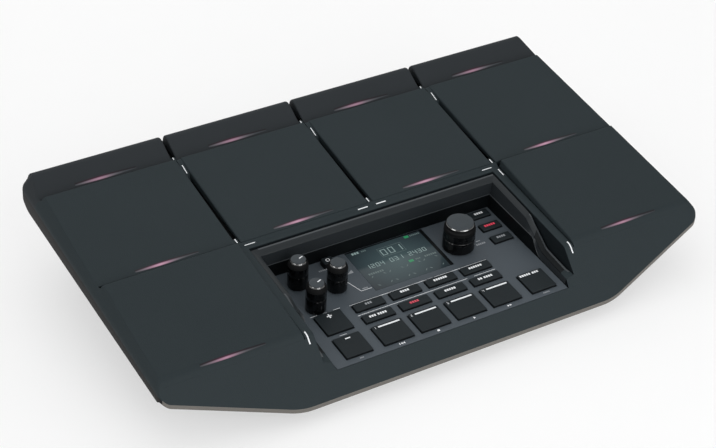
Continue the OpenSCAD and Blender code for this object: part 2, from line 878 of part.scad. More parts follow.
module at_plate(x, z) {
  translate([x, plate_in, z]) rotate([-90, 0, 0]) children();
}

module jack_plate() {
  usb_z = main_board_z + board_t + usb_body[2] / 2;
  color("#3a3d40") difference() {
    block([-plate_half, plate_in, plate_foot], [plate_half, plate_in + plate_t, plate_foot + plate_h]);
    for (x = jack_x) at_plate(x, jack_z) cylinder(d = collar_d + 2 * seat, h = past, center = true);
    for (x = mini_x) at_plate(x, jack_z) cylinder(d = mini_collar_d + 2 * seat, h = past, center = true);
    at_plate(dc_x, jack_z) cylinder(d = dc_collar_d + 2 * seat, h = past, center = true);
    at_plate(power_x, jack_z) cylinder(d = power_d + 2 * seat, h = past, center = true);
    translate([usb_x, plate_in, usb_z])
      cube([usb_body[0] + 2 * seat, past, usb_body[2] + 2 * seat], center = true);
  }
}

// A socket body on the board, with a collar through the plate and a bore
module socket(x, body, collar, bore, depth) {
  board = main_board_z + board_t;
  front = plate_in - seat;
  reach = plate_t + seat + wall - collar_sink;
  difference() {
    union() {
      block([x - body[0] / 2, front - body[1], board], [x + body[0] / 2, front, board + body[2]]);
      translate([0, -seat - join, 0]) at_plate(x, jack_z) cylinder(d = collar, h = reach + join);
    }
    translate([0, -depth + reach - seat, 0]) at_plate(x, jack_z) cylinder(d = bore, h = depth + over);
  }
}

module phone_jacks() {
  color("#1c1d1e") for (x = jack_x) socket(x, jack_body, collar_d, jack_bore, jack_body[1]);
}

module mini_jacks() {
  color("#1c1d1e") for (x = mini_x) socket(x, mini_body, mini_collar_d, mini_bore, mini_body[1]);
}

module dc_inlet() {
  color("#1c1d1e") socket(dc_x, dc_body, dc_collar_d, dc_bore, dc_depth);
}

module usb_socket() {
  board = main_board_z + board_t;
  end = plate_in + plate_t;
  color("#b9bcbe") difference() {
    block([usb_x - usb_body[0] / 2, end - usb_body[1], board],
          [usb_x + usb_body[0] / 2, end, board + usb_body[2]]);
    translate([usb_x, end, board + usb_body[2] / 2])
      cube([usb_mouth[0], 2 * usb_mouth[1], usb_mouth[2]], center = true);
  }
}

module power_button() {
  color("#1c1d1e") {
    translate([0, -power_cap_in, 0]) at_plate(power_x, jack_z)
      cylinder(d = power_d, h = power_cap_in + plate_t + power_rise);
    translate([power_x, plate_in - power_cap_in - power_stem_in / 2 + join / 2, jack_z])
      cube([power_stem, power_stem_in + join, power_stem], center = true);
  }
}

module power_switch() {
  board = main_board_z + board_t;
  front = plate_in - power_cap_in - power_travel - seat;
  hole = power_stem + 2 * seat;
  color("#2b2d2f") difference() {
    block([power_x - power_body[0] / 2, front - power_body[1], board],
          [power_x + power_body[0] / 2, front, board + power_body[2]]);
    translate([power_x, front, jack_z]) cube([hole, 2 * (power_stem_in + seat), hole], center = true);
  }
}

bottom_case();
top_frame();
control_well();
control_panel();
display_window();
display_module();
main_board();
panel_board();
key_switches();
jack_plate();
phone_jacks();
mini_jacks();
usb_socket();
dc_inlet();
power_button();
power_switch();
rubber_feet();
case_screws();
stand_inserts();
light_pipes();
light_boards();
pad_sensors();
bar_pad(0);  // bar_pad_1
bar_pad(1);  // bar_pad_2
bar_pad(2);  // bar_pad_3
bar_pad(3);  // bar_pad_4
main_pad(0);  // main_pad_1
main_pad(1);  // main_pad_2
main_pad(2);  // main_pad_3
main_pad(3);  // main_pad_4
side_pad_left();
side_pad_right();
mode_key(0);  // mode_key_1
mode_key(1);  // mode_key_2
mode_key(2);  // mode_key_3
mode_key(3);  // mode_key_4
loop_key(0);  // loop_key_1
loop_key(1);  // loop_key_2
loop_key(2);  // loop_key_3
loop_key(3);  // loop_key_4
number_key(0);  // number_key_1
number_key(1);  // number_key_2
number_key(2);  // number_key_3
number_key(3);  // number_key_4
plus_key();
minus_key();
shift_key();
menu_key();
exit_key();
enter_key();
click_key();
knob(0);  // knob_1
knob(1);  // knob_2
knob(2);  // knob_3
knob_shaft(0);  // knob_shaft_1
knob_shaft(1);  // knob_shaft_2
knob_shaft(2);  // knob_shaft_3
value_dial();
dial_shaft();
pot_bodies();
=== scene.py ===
# %% [markdown]
# # An electronic percussion pad
# The real object is a wedge-shaped box skinned in soft black rubber, with ten striking pads in three
# shingled rows and a sunken panel of keys, knobs and a display. The CAD model gives the bodies and
# joints; this lesson dresses them. The sheet is read from top to bottom: frame, helpers, finishes,
# rubber deck, panel, marks, light and camera.

# %% Load the frame
import math
import bpy
import numpy as np
from mathutils import Matrix


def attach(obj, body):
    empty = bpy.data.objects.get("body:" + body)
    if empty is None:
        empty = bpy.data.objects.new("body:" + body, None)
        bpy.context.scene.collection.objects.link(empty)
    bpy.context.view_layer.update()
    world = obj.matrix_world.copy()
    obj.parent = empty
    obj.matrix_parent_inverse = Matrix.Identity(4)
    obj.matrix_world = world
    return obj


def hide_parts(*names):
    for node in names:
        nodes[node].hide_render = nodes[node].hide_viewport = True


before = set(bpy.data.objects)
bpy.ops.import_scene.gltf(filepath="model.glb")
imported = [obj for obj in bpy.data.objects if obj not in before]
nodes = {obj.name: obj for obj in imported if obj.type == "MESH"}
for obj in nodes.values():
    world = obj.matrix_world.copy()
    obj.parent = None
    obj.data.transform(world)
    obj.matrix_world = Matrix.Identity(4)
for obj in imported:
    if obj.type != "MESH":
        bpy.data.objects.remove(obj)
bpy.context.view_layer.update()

# %% [markdown]
# ## Two flat worlds
# Everything on this object is drawn either on the sloping deck or on the panel sunk into it. Working
# in millimetres on those planes keeps the numbers readable, and two small functions carry whole
# arrays of points to the frame in metres.

# %% Deck and panel places
TILT = math.radians(7.8)
DECK_Y, DECK_H = 95.796, 73.0
PANEL_TURN = math.radians(2.86)
PANEL_Y, PANEL_DROP = -160.0, 22.6


def on_deck(x, y, z):
    """Deck millimetres to frame metres: a turn by the tilt about x, then a lift to the deck's origin."""
    x, y, z = np.broadcast_arrays(np.asarray(x, float), y, z)
    c, s = math.cos(TILT), math.sin(TILT)
    return np.stack([x, y * c - z * s + DECK_Y, y * s + z * c + DECK_H], -1) * 0.001


def on_panel(x, v, w):
    """Panel millimetres to frame metres: turned back by the panel's slope, then placed on the deck."""
    x, v, w = np.broadcast_arrays(np.asarray(x, float), v, w)
    c, s = math.cos(PANEL_TURN), math.sin(PANEL_TURN)
    return on_deck(x, PANEL_Y + v * c + w * s, -PANEL_DROP - v * s + w * c)


print("panel middle in metres:", on_panel(0, 0, 0).round(4))

# %% [markdown]
# ## Closed skins from rings
# Nearly every piece is a stack of closed rings: a pad is its side profile carried along x, a key its
# rounded outline carried upwards, a knob a circle that changes radius. One helper joins the rings and
# closes both ends, and it turns the faces outwards by the sign of the enclosed volume.

# %% Rings to closed meshes
def skin(rings, wrap=False):
    """Points, quads and end caps of rings (m, n, 3) joined in order; wrap joins the two ends instead."""
    m, n = rings.shape[:2]
    row, j = np.arange(m if wrap else m - 1)[:, None], np.arange(n)[None, :]
    a, b, k = row * n, ((row + 1) % m) * n, (j + 1) % n
    quads = np.stack([a + j, a + k, b + k, b + j], -1).reshape(-1, 4)
    caps = [] if wrap else [np.arange(n)[::-1], np.arange(n) + (m - 1) * n]
    p = rings.reshape(-1, 3)
    mid = p.mean(0)
    q = p[quads] - mid
    volume = (np.cross(q[:, 0], q[:, 1]) * q[:, 2]).sum() + (np.cross(q[:, 0], q[:, 2]) * q[:, 3]).sum()
    for cap in caps:
        c = p[cap] - mid
        volume += (np.cross(c[0], c[1:-1]) * c[2:]).sum()
    if volume < 0:
        quads, caps = quads[:, ::-1], [cap[::-1] for cap in caps]
    return p, quads, caps


print("three rings of four points give", len(skin(np.zeros((3, 4, 3)))[1]), "quads")

# %% [markdown]
# ## From skins to a piece
# An object may hold several closed skins, such as the plates of a print. Their points are stacked, and
# the faces of each skin are renumbered by the points before it. Every piece is then told which body it
# rides on, so that it moves with its joint.

# %% One object from several skins
def piece(name, parts, body, finish, sharp=35.0, stands_for=()):
    """One object from several closed skins: their points are stacked and their faces renumbered."""
    faces, start = [], 0
    for p, quads, caps in parts:
        faces += (quads + start).tolist() + [(cap + start).tolist() for cap in caps]
        start += len(p)
    data = bpy.data.meshes.new(name)
    data.from_pydata(np.concatenate([part[0] for part in parts]).tolist(), [], faces)
    data.shade_smooth()
    data.set_sharp_from_angle(angle=math.radians(sharp))
    data.materials.append(finish)
    made = bpy.data.objects.new(name, data)
    bpy.context.scene.collection.objects.link(made)
    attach(made, body)
    if stands_for:
        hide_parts(*stands_for)
    return made


def paint(made, index):
    """Gives every face of a piece the material with its own number from the array index."""
    made.data.polygons.foreach_set("material_index", np.asarray(index).astype(np.int32))


print("faces turned outwards by the sign of the volume")

# %% [markdown]
# ## Outlines
# Sharp corners give plastic and rubber away as fakes, so outlines are drawn as corner points with a
# radius each, and an arc takes the place of every corner. All corners are worked out at once.

# %% Rounded outlines
def rounded(corners, radii, steps=6):
    """Closed outline in which each corner gives way to an arc tangent to its two sides."""
    c, r = np.asarray(corners, float), np.broadcast_to(np.asarray(radii, float), len(corners))
    u, v = np.roll(c, 1, 0) - c, np.roll(c, -1, 0) - c
    u, v = u / np.linalg.norm(u, axis=1)[:, None], v / np.linalg.norm(v, axis=1)[:, None]
    half = np.arccos(np.clip((u * v).sum(1), -1, 1)) / 2
    mid = (u + v) / np.linalg.norm(u + v, axis=1)[:, None]
    hub = c + mid * (r / np.sin(half))[:, None]
    start, end = (c + w * (r / np.tan(half))[:, None] - hub for w in (u, v))
    first = np.arctan2(start[:, 1], start[:, 0])
    sweep = (np.arctan2(end[:, 1], end[:, 0]) - first + np.pi) % (2 * np.pi) - np.pi
    angle = first[:, None] + sweep[:, None] * np.linspace(0, 1, steps)
    ring = hub[:, None] + r[:, None, None] * np.stack([np.cos(angle), np.sin(angle)], -1)
    return ring.reshape(-1, 2)


print("a rounded square has", len(rounded([[0, 0], [1, 0], [1, 1], [0, 1]], 0.2)), "points")

# %% [markdown]
# ## Points, normals and fillets
# Straight stretches need extra points where a surface has to bend, and an edge that shrinks needs to know
# which way is inside. Two heights that cross are joined by a small fillet, as a mould would have it.

# %% Denser outlines and fillets
def denser(loop, step):
    """The same closed outline with extra points every step along its length; its own points stay."""
    closed = np.vstack([loop, loop[:1]])
    at = np.concatenate([[0], np.cumsum(np.linalg.norm(np.diff(closed, axis=0), axis=1))])
    s = np.unique(np.concatenate([at[:-1], np.arange(0, at[-1], step)]).round(4))
    s = s[np.concatenate([[True], np.diff(s) > 0.02])]
    s = s[s < at[-1] - 0.02]
    return np.stack([np.interp(s, at, closed[:, i]) for i in (0, 1)], -1)


def inward(loop):
    """Unit normals of a closed outline, pointing inside: the tangent between both neighbours, turned."""
    t = np.roll(loop, -1, 0) - np.roll(loop, 1, 0)
    t = t / np.maximum(np.linalg.norm(t, axis=1), 1e-9)[:, None]
    nxt = np.roll(loop, -1, 0)
    area = (loop[:, 0] * nxt[:, 1] - nxt[:, 0] * loop[:, 1]).sum()
    return np.stack([-t[:, 1], t[:, 0]], -1) * np.sign(area)


def soft_min(a, b, k):
    """The lower of two heights, with a fillet of width k where they cross."""
    h = np.clip(0.5 + 0.5 * (b - a) / k, 0, 1)
    return b + (a - b) * h - k * h * (1 - h)


print("two equal heights joined over 1 mm sink by", -soft_min(0.0, 0.0, 1.0), "mm")

# %% [markdown]
# ## Shared surface effects
# Moulded rubber and plastic are never one flat colour: the mould leaves a fine leathery grain, and
# handling leaves faint cloudy patches. Both go into one node group with named inputs, so each finish
# sets its own colours, grain size and depth. It puts out only what varies over the surface.

# %% A new node group
def new_group(name, inputs, outputs):
    """A shader node group with the given (socket type, name, default) inputs and outputs."""
    group = bpy.data.node_groups.new(name, "ShaderNodeTree")
    for kind, label, value in inputs:
        group.interface.new_socket(label, in_out="INPUT", socket_type=kind).default_value = value
    for kind, label in outputs:
        group.interface.new_socket(label, in_out="OUTPUT", socket_type=kind)
    return group, group.nodes, group.links


NUMBER, TINT, ARROW = "NodeSocketFloat", "NodeSocketColor", "NodeSocketVector"
print("socket kinds:", NUMBER, TINT, ARROW)

# %% [markdown]
# ## Grain and clouds
# A fine noise serves twice: it roughens the shine and, through a Bump node, tilts the surface a little.
# A coarse noise mixes two close colours. An image could do the same, but noise needs no file and has no
# seams.

# %% The grain group
grain, gn, gl = new_group(
    "moulded_grain",
    [(TINT, "Base", (0.03, 0.03, 0.03, 1)), (TINT, "Cloud", (0.04, 0.04, 0.04, 1)),
     (NUMBER, "Grain Size", 900.0), (NUMBER, "Depth", 0.1), (NUMBER, "Rough Low", 0.5),
     (NUMBER, "Rough High", 0.6)],
    [(TINT, "Colour"), (NUMBER, "Roughness"), (ARROW, "Normal")])
gin, gout = gn.new("NodeGroupInput"), gn.new("NodeGroupOutput")
where = gn.new("ShaderNodeTexCoord")
fine = gn.new("ShaderNodeTexNoise")
fine.inputs["Detail"].default_value = 3.0
cloud = gn.new("ShaderNodeTexNoise")
cloud.inputs["Scale"].default_value = 22.0
cloud.inputs["Detail"].default_value = 4.0
tint = gn.new("ShaderNodeMix")
tint.data_type = "RGBA"
rough = gn.new("ShaderNodeMapRange")
bump = gn.new("ShaderNodeBump")
bump.inputs["Distance"].default_value = 0.0004
gl.new(where.outputs["Object"], fine.inputs["Vector"])
gl.new(where.outputs["Object"], cloud.inputs["Vector"])
gl.new(gin.outputs["Grain Size"], fine.inputs["Scale"])
gl.new(cloud.outputs["Fac"], tint.inputs["Factor"])
gl.new(gin.outputs["Base"], tint.inputs["A"])
gl.new(gin.outputs["Cloud"], tint.inputs["B"])
gl.new(fine.outputs["Fac"], rough.inputs["Value"])
gl.new(gin.outputs["Rough Low"], rough.inputs["To Min"])
gl.new(gin.outputs["Rough High"], rough.inputs["To Max"])
gl.new(fine.outputs["Fac"], bump.inputs["Height"])
gl.new(gin.outputs["Depth"], bump.inputs["Strength"])
gl.new(tint.outputs["Result"], gout.inputs["Colour"])
gl.new(rough.outputs["Result"], gout.inputs["Roughness"])
gl.new(bump.outputs["Normal"], gout.inputs["Normal"])
print("group:", grain.name)

# %% [markdown]
# ## Finishes
# A finish is one Principled shader fed by the grain group. Colours are written as they look on the
# object, in screen values from 0 to 255, and turned into linear light.

# %% How a finish is made
def screen(r, g, b):
    """Linear colour of a screen colour: the standard curve, a straight toe and a power of 2.4."""
    c = np.array([r, g, b]) / 255.0
    lin = np.where(c <= 0.04045, c / 12.92, ((c + 0.055) / 1.055) ** 2.4)
    return (*lin.tolist(), 1.0)


def moulded(name, base, cloud_tint, size, depth, low, high, metal=0.0, shine=0.5, coat=0.0):
    """A Principled finish whose colour, roughness and normal come from the grain group."""
    made = bpy.data.materials.new(name)
    made.use_nodes = True
    shader = made.node_tree.nodes["Principled BSDF"]
    shader.inputs["Metallic"].default_value = metal
    shader.inputs["Specular IOR Level"].default_value = shine
    shader.inputs["Coat Weight"].default_value = coat
    shader.inputs["Coat Roughness"].default_value = 0.08
    box = made.node_tree.nodes.new("ShaderNodeGroup")
    box.node_tree = grain
    values = {"Base": screen(*base), "Cloud": screen(*cloud_tint), "Grain Size": size, "Depth": depth,
              "Rough Low": low, "Rough High": high}
    for label, value in values.items():
        box.inputs[label].default_value = value
    for out, into in (("Colour", "Base Color"), ("Roughness", "Roughness"), ("Normal", "Normal")):
        made.node_tree.links.new(box.outputs[out], shader.inputs[into])
    return made


print("pure white in linear light:", screen(255, 255, 255))

# %% [markdown]
# ## Rubbers
# The skin of the real object is one matt black rubber that hardly mirrors anything, so its specular level
# is low and its roughness high. Bars, skirt and slots are the same rubber with painted light and shade: a
# lighter copy on the bars, darker copies on the skirt and in the slots.

# %% Rubbers
deck_rubber = moulded("deck_rubber", (37, 45, 48), (40, 48, 51), 1500, 0.22, 0.58, 0.7, shine=0.1)
# painted light: the deck rubber made lighter for the light the tilted bars catch
bar_rubber_painted_light = moulded("bar_rubber_painted_light", (40, 44, 47), (43, 47, 50), 1500, 0.22, 0.58, 0.7, shine=0.1)
# painted shade: the deck rubber made darker for the skirt under the band
skirt_painted_shade = moulded("skirt_painted_shade", (27, 27, 27), (30, 30, 30), 1500, 0.22, 0.6, 0.7, shine=0.1)
# near black: painted shade in the slots, and a matt black on the knobs' shoulders
matt_black_slot_shade = moulded("matt_black_slot_shade", (8, 9, 10), (11, 12, 13), 1500, 0.2, 0.6, 0.7, shine=0.1)
print("finishes so far:", len(bpy.data.materials))

# %% [markdown]
# ## Plastics of the panel
# Well, panel, keys and knobs are moulded plastic, smoother than rubber. The well is one black plastic painted
# in several steps from near black to dark grey as painted light and shade, and only the chamfers of the knobs
# are polished.

# %% Plastics of the panel
bezel_plastic = moulded("bezel_plastic", (28, 33, 36), (31, 36, 39), 1800, 0.12, 0.4, 0.5, shine=0.2)
# painted highlight along the well's rear edge
bezel_painted_highlight = moulded("bezel_painted_highlight", (62, 66, 69), (66, 70, 73), 1800, 0.08, 0.35, 0.45, shine=0.3)
# painted light on the ledge and on the leaning wall above it
ledge_painted_light = moulded("ledge_painted_light", (46, 50, 53), (49, 53, 56), 1800, 0.1, 0.4, 0.5, shine=0.15)
wall_painted_light = moulded("wall_painted_light", (32, 36, 39), (35, 39, 42), 1800, 0.15, 0.4, 0.5, shine=0.15)
# painted shade: near black low in the well and along two edges of the display
well_plastic = moulded("well_plastic", (6, 9, 11), (9, 12, 14), 1800, 0.15, 0.4, 0.5, shine=0.1)
# painted shade on the strip's inner wall
jamb_painted_shade = moulded("jamb_painted_shade", (20, 25, 28), (23, 28, 31), 1800, 0.15, 0.4, 0.5, shine=0.1)
# painted shade where the bezel dives into a low ridge
ridge_painted_shade = moulded("ridge_painted_shade", (14, 18, 20), (17, 21, 23), 1800, 0.12, 0.45, 0.55, shine=0.1)
# painted reflection: the panel's grey stands for the white surround mirrored in its glossy dark plastic
panel_plastic = moulded("panel_plastic", (68, 75, 81), (72, 79, 85), 2200, 0.12, 0.46, 0.56, shine=0.15)
key_plastic = moulded("key_plastic", (28, 34, 37), (31, 37, 40), 2600, 0.12, 0.5, 0.6, shine=0.1)
key_side_shade = moulded("key_side_shade", (14, 17, 19), (17, 20, 22), 2600, 0.12, 0.5, 0.6, shine=0.1)
knob_gloss = moulded("knob_gloss", (4, 5, 6), (6, 7, 8), 700, 0.03, 0.14, 0.2, shine=0.2, coat=0.1)
knob_edge = moulded("knob_edge", (8, 9, 10), (11, 12, 13), 700, 0.03, 0.1, 0.16, shine=1.0, coat=0.6)
knob_top = moulded("knob_top", (52, 58, 62), (57, 63, 67), 2600, 0.15, 0.42, 0.52, shine=0.15)
print("finishes so far:", len(bpy.data.materials))

# %% [markdown]
# ## Case, metal and ink
# The base has a coarser grain than the panel, the plate at the back is painted metal, and screws and
# inserts are bare metal. Metal takes its colour from what it mirrors, so only these are metallic.

# %% Case, metal and ink
case_plastic = moulded("case_plastic", (36, 38, 40), (41, 43, 45), 1100, 0.35, 0.5, 0.62, shine=0.3)
foot_rubber = moulded("foot_rubber", (26, 26, 27), (32, 32, 33), 1600, 0.3, 0.7, 0.8, shine=0.2)
socket_black = moulded("socket_black", (22, 23, 24), (27, 28, 29), 1300, 0.2, 0.38, 0.5, shine=0.4)
plate_paint = moulded("plate_paint", (46, 48, 50), (52, 54, 56), 1700, 0.25, 0.42, 0.55, metal=0.3)
steel = moulded("steel", (166, 170, 172), (178, 181, 183), 900, 0.08, 0.22, 0.34, metal=1.0)
brass = moulded("brass", (186, 156, 88), (200, 170, 102), 900, 0.08, 0.25, 0.36, metal=1.0)
board_green = moulded("board_green", (38, 84, 54), (46, 98, 62), 500, 0.1, 0.4, 0.5)
white_ink = moulded("white_ink", (222, 225, 228), (232, 234, 236), 2400, 0.05, 0.5, 0.6)
# painted reflection: the lighter front rim stands for the white floor mirrored in its lower edge
rim_painted_reflection = moulded("rim_painted_reflection", (100, 97, 93), (106, 103, 98), 1500, 0.2, 0.5, 0.6, shine=0.25)
print("finishes:", len(bpy.data.materials))

# %% [markdown]
# ## The rubber deck: heights
# On the real object one rubber skin covers everything: three rows of pads, each tilted a little so
# that its back stands over the next row, a bevel along both sides and a slope at the front. All rubber
# pieces here take their heights from the same few lines, so their edges meet without a visible seam.

# %% Lines and heights of the deck
HALF_W, BACK_Y, SHOULDER_Y, FRONT_Y, NOSE_W = 203.7, 24.65, -201.2, -225.0, 118.4
BEND_Y, FALL = -190.7, 0.9
PAD_RISE, BAR_RISE = math.tan(math.radians(2.68)), math.tan(math.radians(22.8))
APRON_Y, LIP_Y = -194.45, -212.87
SEAM_X = 199.2
WELL_X, STRIP_X, SIDE_X = 95.45, 101.9, 102.6
FOOT_Z, TRAY_Z, TRAY_FOOT, STRIP_Z = -4.2, -5.0, -8.0, -2.0
REAR_R = 8.0


def front_height(y):
    """Height of the front slope: 0.9 mm down for each millimetre forward of the bend."""
    return FALL * (y - BEND_Y)


def side_bevel(d):
    """Height of the side edge at d inside the outline: an arc of 8 mm, then a bevel leaning 35 degrees."""
    arc = -7.4 + np.sqrt(np.maximum(64 - (8 - np.minimum(d, 1.447)) ** 2, 0))
    return np.where(d < 1.447, arc, -2.811 + (d - 1.447) / math.tan(math.radians(35)))


def edge_drop(d, r):
    """How far a rounded edge of radius r lies below its face at d inside the edge: a quarter circle."""
    return r - np.sqrt(np.maximum(r * r - (r - np.clip(d, 0, r)) ** 2, 0))


def edge_height(x, y):
    """Height of the bevel over the deck: by the way to the outline with its round rear corners. Past the
    middle of such a corner it lifts off, because the bars have their own roll at the back."""
    cx = np.maximum(np.abs(x) - (HALF_W - REAR_R), 0)
    cy = np.maximum(y - (BACK_Y - REAR_R), 0)
    turn = np.arctan2(cy, cx + 1e-9) / (np.pi / 2)
    lift = 14 * np.clip((turn - 0.68) / 0.32, 0, 1) ** 1.5
    return side_bevel(np.maximum(REAR_R - np.hypot(cx, cy), 0)) + lift


print("the front slope ends", round(-front_height(FRONT_Y), 1), "mm below the deck")

# %% [markdown]
# ## Pads
# Each pad is one closed profile, seen from the side, carried along x. Towards a slot the profile
# shrinks by a quarter circle, which rounds the edge, and on the outer side the bevel cuts it off.
# The rows differ only in their profile: bars roll over at the back, the front pads bend softly down.

# %% Pad profiles
MAIN_TOP = -0.3 + (-6.6 + 98.4) * PAD_RISE
SIDE_TOP = (-102.5 - BEND_Y) * PAD_RISE
BAR_TOP = -1.92 + 24.8 * BAR_RISE
bar_profile = rounded([[-2.5, FOOT_Z], [22.3, FOOT_Z], [22.3, BAR_TOP], [-2.5, -1.9]],
                      [0.3, 0.3, 6.0, 0.7], 12)
main_profile = rounded([[-98.4, FOOT_Z], [-3.4, FOOT_Z], [-6.6, MAIN_TOP], [-98.4, -0.3]],
                       [0.3, 0.3, 1.2, 0.6], 8)
side_profile = rounded([[-194.42, FOOT_Z], [-99.3, FOOT_Z], [-102.5, SIDE_TOP], [BEND_Y, 0],
                        [-194.42, front_height(-194.42)]], [0.05, 0.3, 1.2, 10.0, 0.05], 10)
print("profile points:", len(bar_profile), len(main_profile), len(side_profile))

# %% [markdown]
# ## From profile to pad
# The profile is copied at every step along x. A pad ends either in a slot or under the bevel of the deck's
# side, and the end decides how close the steps lie: seven on a quarter circle, or sixteen on the bevel.

# %% Pad skins
def pad_skin(profile, left, right):
    """A profile (y, z) carried along x; it shrinks along its normals near a slot, and the bevel cuts it."""
    loop = denser(profile, 2.5)
    normal = inward(loop)
    turn = np.linspace(0, np.pi / 2, 7)
    soft = 1.3
    free = soft * (1 - np.cos(turn))
    bevel = np.linspace(0, 9, 16)
    x_left = left + (bevel if left < -SEAM_X + 1 else free)
    x_right = (right - (bevel if right > SEAM_X - 1 else free))[::-1]
    x = np.concatenate([x_left, np.linspace(x_left[-1], x_right[0], 14)[1:-1], x_right])
    open_end = np.minimum(np.where(left < -SEAM_X + 1, 99, x - left),
                          np.where(right > SEAM_X - 1, 99, right - x))
    drop = edge_drop(open_end, soft)[:, None] * np.clip((loop[None, :, 0] + 193.5) / 6, 0, 1)
    y = loop[None, :, 0] + normal[None, :, 0] * drop
    z = loop[None, :, 1] + normal[None, :, 1] * drop
    wide = x[:, None] + 0 * y
    cut = np.maximum(soft_min(z, edge_height(wide, y), 0.45), FOOT_Z)
    return skin(on_deck(wide, y, np.where((z > -4) & (np.abs(wide) > 188), cut, z)))


columns = np.array([-150, -50, 50, 150.0])
lefts = np.array([-SEAM_X, -98.3, 1.7, 101.7])
rights = np.array([-101.7, -1.7, 98.3, SEAM_X])
for i in range(4):
    for row, profile, finish in (("bar_pad", bar_profile, bar_rubber_painted_light),
                                 ("main_pad", main_profile, deck_rubber)):
        name = f"{row}_{i + 1}"
        piece(name + "_rubber", [pad_skin(profile, lefts[i], rights[i])], name, finish,
              stands_for=(name,))
for side, left, right in (("left", -SEAM_X, -SIDE_X), ("right", SIDE_X, SEAM_X)):
    name = f"side_pad_{side}"
    piece(name + "_rubber", [pad_skin(side_profile, left, right)], name, deck_rubber,
          stands_for=(name,))
print("pads: 10")

# %% [markdown]
# ## The edge band
# A band of the same rubber runs round the whole deck: bevelled along the sides, low behind the bars,
# and an upright rim under the front slope. Its section changes on the way, so the outline is walked
# in small steps and every step gets its own section, computed for all steps at once.

# %% Heights beside the band
outline = rounded([[HALF_W, BACK_Y], [-HALF_W, BACK_Y], [-HALF_W, SHOULDER_Y], [-NOSE_W, FRONT_Y],
                   [NOSE_W, FRONT_Y], [HALF_W, SHOULDER_Y]], [REAR_R, REAR_R, 8, 60, 60, 8], 14)
path = denser(outline, 1.6)
path_in = inward(path)

line_y = np.linspace(-260, 40, 3001)
roll = -0.5 + np.sqrt(np.maximum(36 - (line_y - 16.3) ** 2, 0))
line_z = np.select(
    [line_y > 22.3, line_y > 16.3, line_y > -2.9, line_y > -5.6, line_y > -98.8, line_y > -101.5,
     line_y > BEND_Y],
    [-1.0, roll, -1.9 + (line_y + 2.5) * BAR_RISE, -1.0, -0.3 + (line_y + 98.4) * PAD_RISE, -0.4,
     (line_y - BEND_Y) * PAD_RISE], front_height(line_y))
weights = np.exp(-0.5 * (np.arange(-50, 51) / 12.0) ** 2)
line_soft = np.convolve(np.pad(np.minimum(line_z, 3.0), 50, mode="edge"), weights / weights.sum(), "valid")


def row_height(y):
    """Height of the rows beside the band: their saw-toothed line, blurred over about a millimetre."""
    return np.interp(y, line_y, line_soft)


print("steps round the deck:", len(path))

# %% [markdown]
# ## Sections of the band
# Each section runs over the top from the inner to the outer edge and back below. Two weights, rear and
# front, say how much a step belongs to the back or to the front, and blend the three kinds of section.

# %% Edge band round the deck
BAND_W, REAR_W = 4.45, 2.2


def band_sections():
    """Sections of the band at every step of the outline: over the top from inside to outside, then below."""
    px, py = path[:, 0, None], path[:, 1, None]
    nx, ny = path_in[:, 0, None], path_in[:, 1, None]
    rear = np.where(py > 0, np.clip(-ny, 0, 1), 0)
    front = np.where(py < -150, np.clip(ny, 0, 1), 0)
    depth = BAND_W * (1 - rear) + REAR_W * rear
    share = np.array([1, 0.86, 0.72, 0.6, 0.5, 0.41, 0.33, 0.26, 0.2, 0.14, 0.09, 0.05, 0.02, 0])[None]
    d = depth * share
    y = py + ny * d
    flat = row_height(y) * (1 - rear) - 3.4 * rear
    top = flat - edge_drop(d, 0.8)
    bevel = np.where(py > -150, edge_height(px + nx * d, y), side_bevel(d))
    top = np.where(front > 0.9, top, soft_min(top, bevel, 0.45))
    corner = np.clip((py - BACK_Y + 18) / 18, 0, 1) * np.clip((np.abs(px) - HALF_W + 18) / 18, 0, 1)
    low_side = np.interp(py, [SHOULDER_Y, BACK_Y], [-13.05, -20.0]) + 12 * corner ** 2
    low = low_side * (1 - front) + (front_height(py) - 3.6) * front
    d_low = np.concatenate([0 * depth, 0 * depth + 0.4, 0 * depth + 2.2, 0 * depth + 2.19, depth], 1)
    slope = front_height(py + ny * d_low) - 3.6
    z_side = np.concatenate([low + 0.4, low, low, 0 * low + TRAY_FOOT, 0 * low + TRAY_FOOT], 1)
    z_front = slope + np.array([0.4, 0, 0, 0.02, 0])[None]
    z_low = z_side * (1 - front) + z_front * front
    d_all = np.concatenate([d, d_low], 1)
    return on_deck(px + nx * d_all, py + ny * d_all, np.concatenate([top, z_low], 1))


band = piece("edge_band", [skin(band_sections(), wrap=True)], "case", deck_rubber,
             sharp=50, stands_for=("top_frame",))
print("edge band:", len(band.data.vertices), "points")

# %% [markdown]
# ## Finishes of the band
# Along the front the rim is painted lighter, a painted reflection of the white floor; the skirt below the sides
# gets painted shade, and beside the bars the band takes the bars' painted lighter tone. A face knows its step
# and its place in the section from its own number, so whole arrays choose the finish.

# %% Finishes of the band
SECTION_N = 19
for finish in (rim_painted_reflection, skirt_painted_shade, bar_rubber_painted_light):
    band.data.materials.append(finish)
face = np.arange(len(band.data.polygons))
step_at, part_at = face // SECTION_N, face % SECTION_N
# the skirt's outer faces get painted shade
outside = (part_at >= 13) & (part_at < 16)
at_front = (path_in[step_at, 1] > 0.5) & (path[step_at, 1] < -150)
rim_reflection_faces = (part_at >= 11) & (part_at < 16) & at_front
beside_bars = ~outside & (path[step_at, 1] > -2.7)
paint(band, np.select([rim_reflection_faces, outside, beside_bars], [1, 2, 3], 0))
print("rim faces:", int(rim_reflection_faces.sum()))

# %% [markdown]
# ## Front slope
# Inside the band the front slope is one flat sheet with a notch for the panel. Its outer edge is the
# band's inner edge, taken from the same outline, so that no gap can open between them.

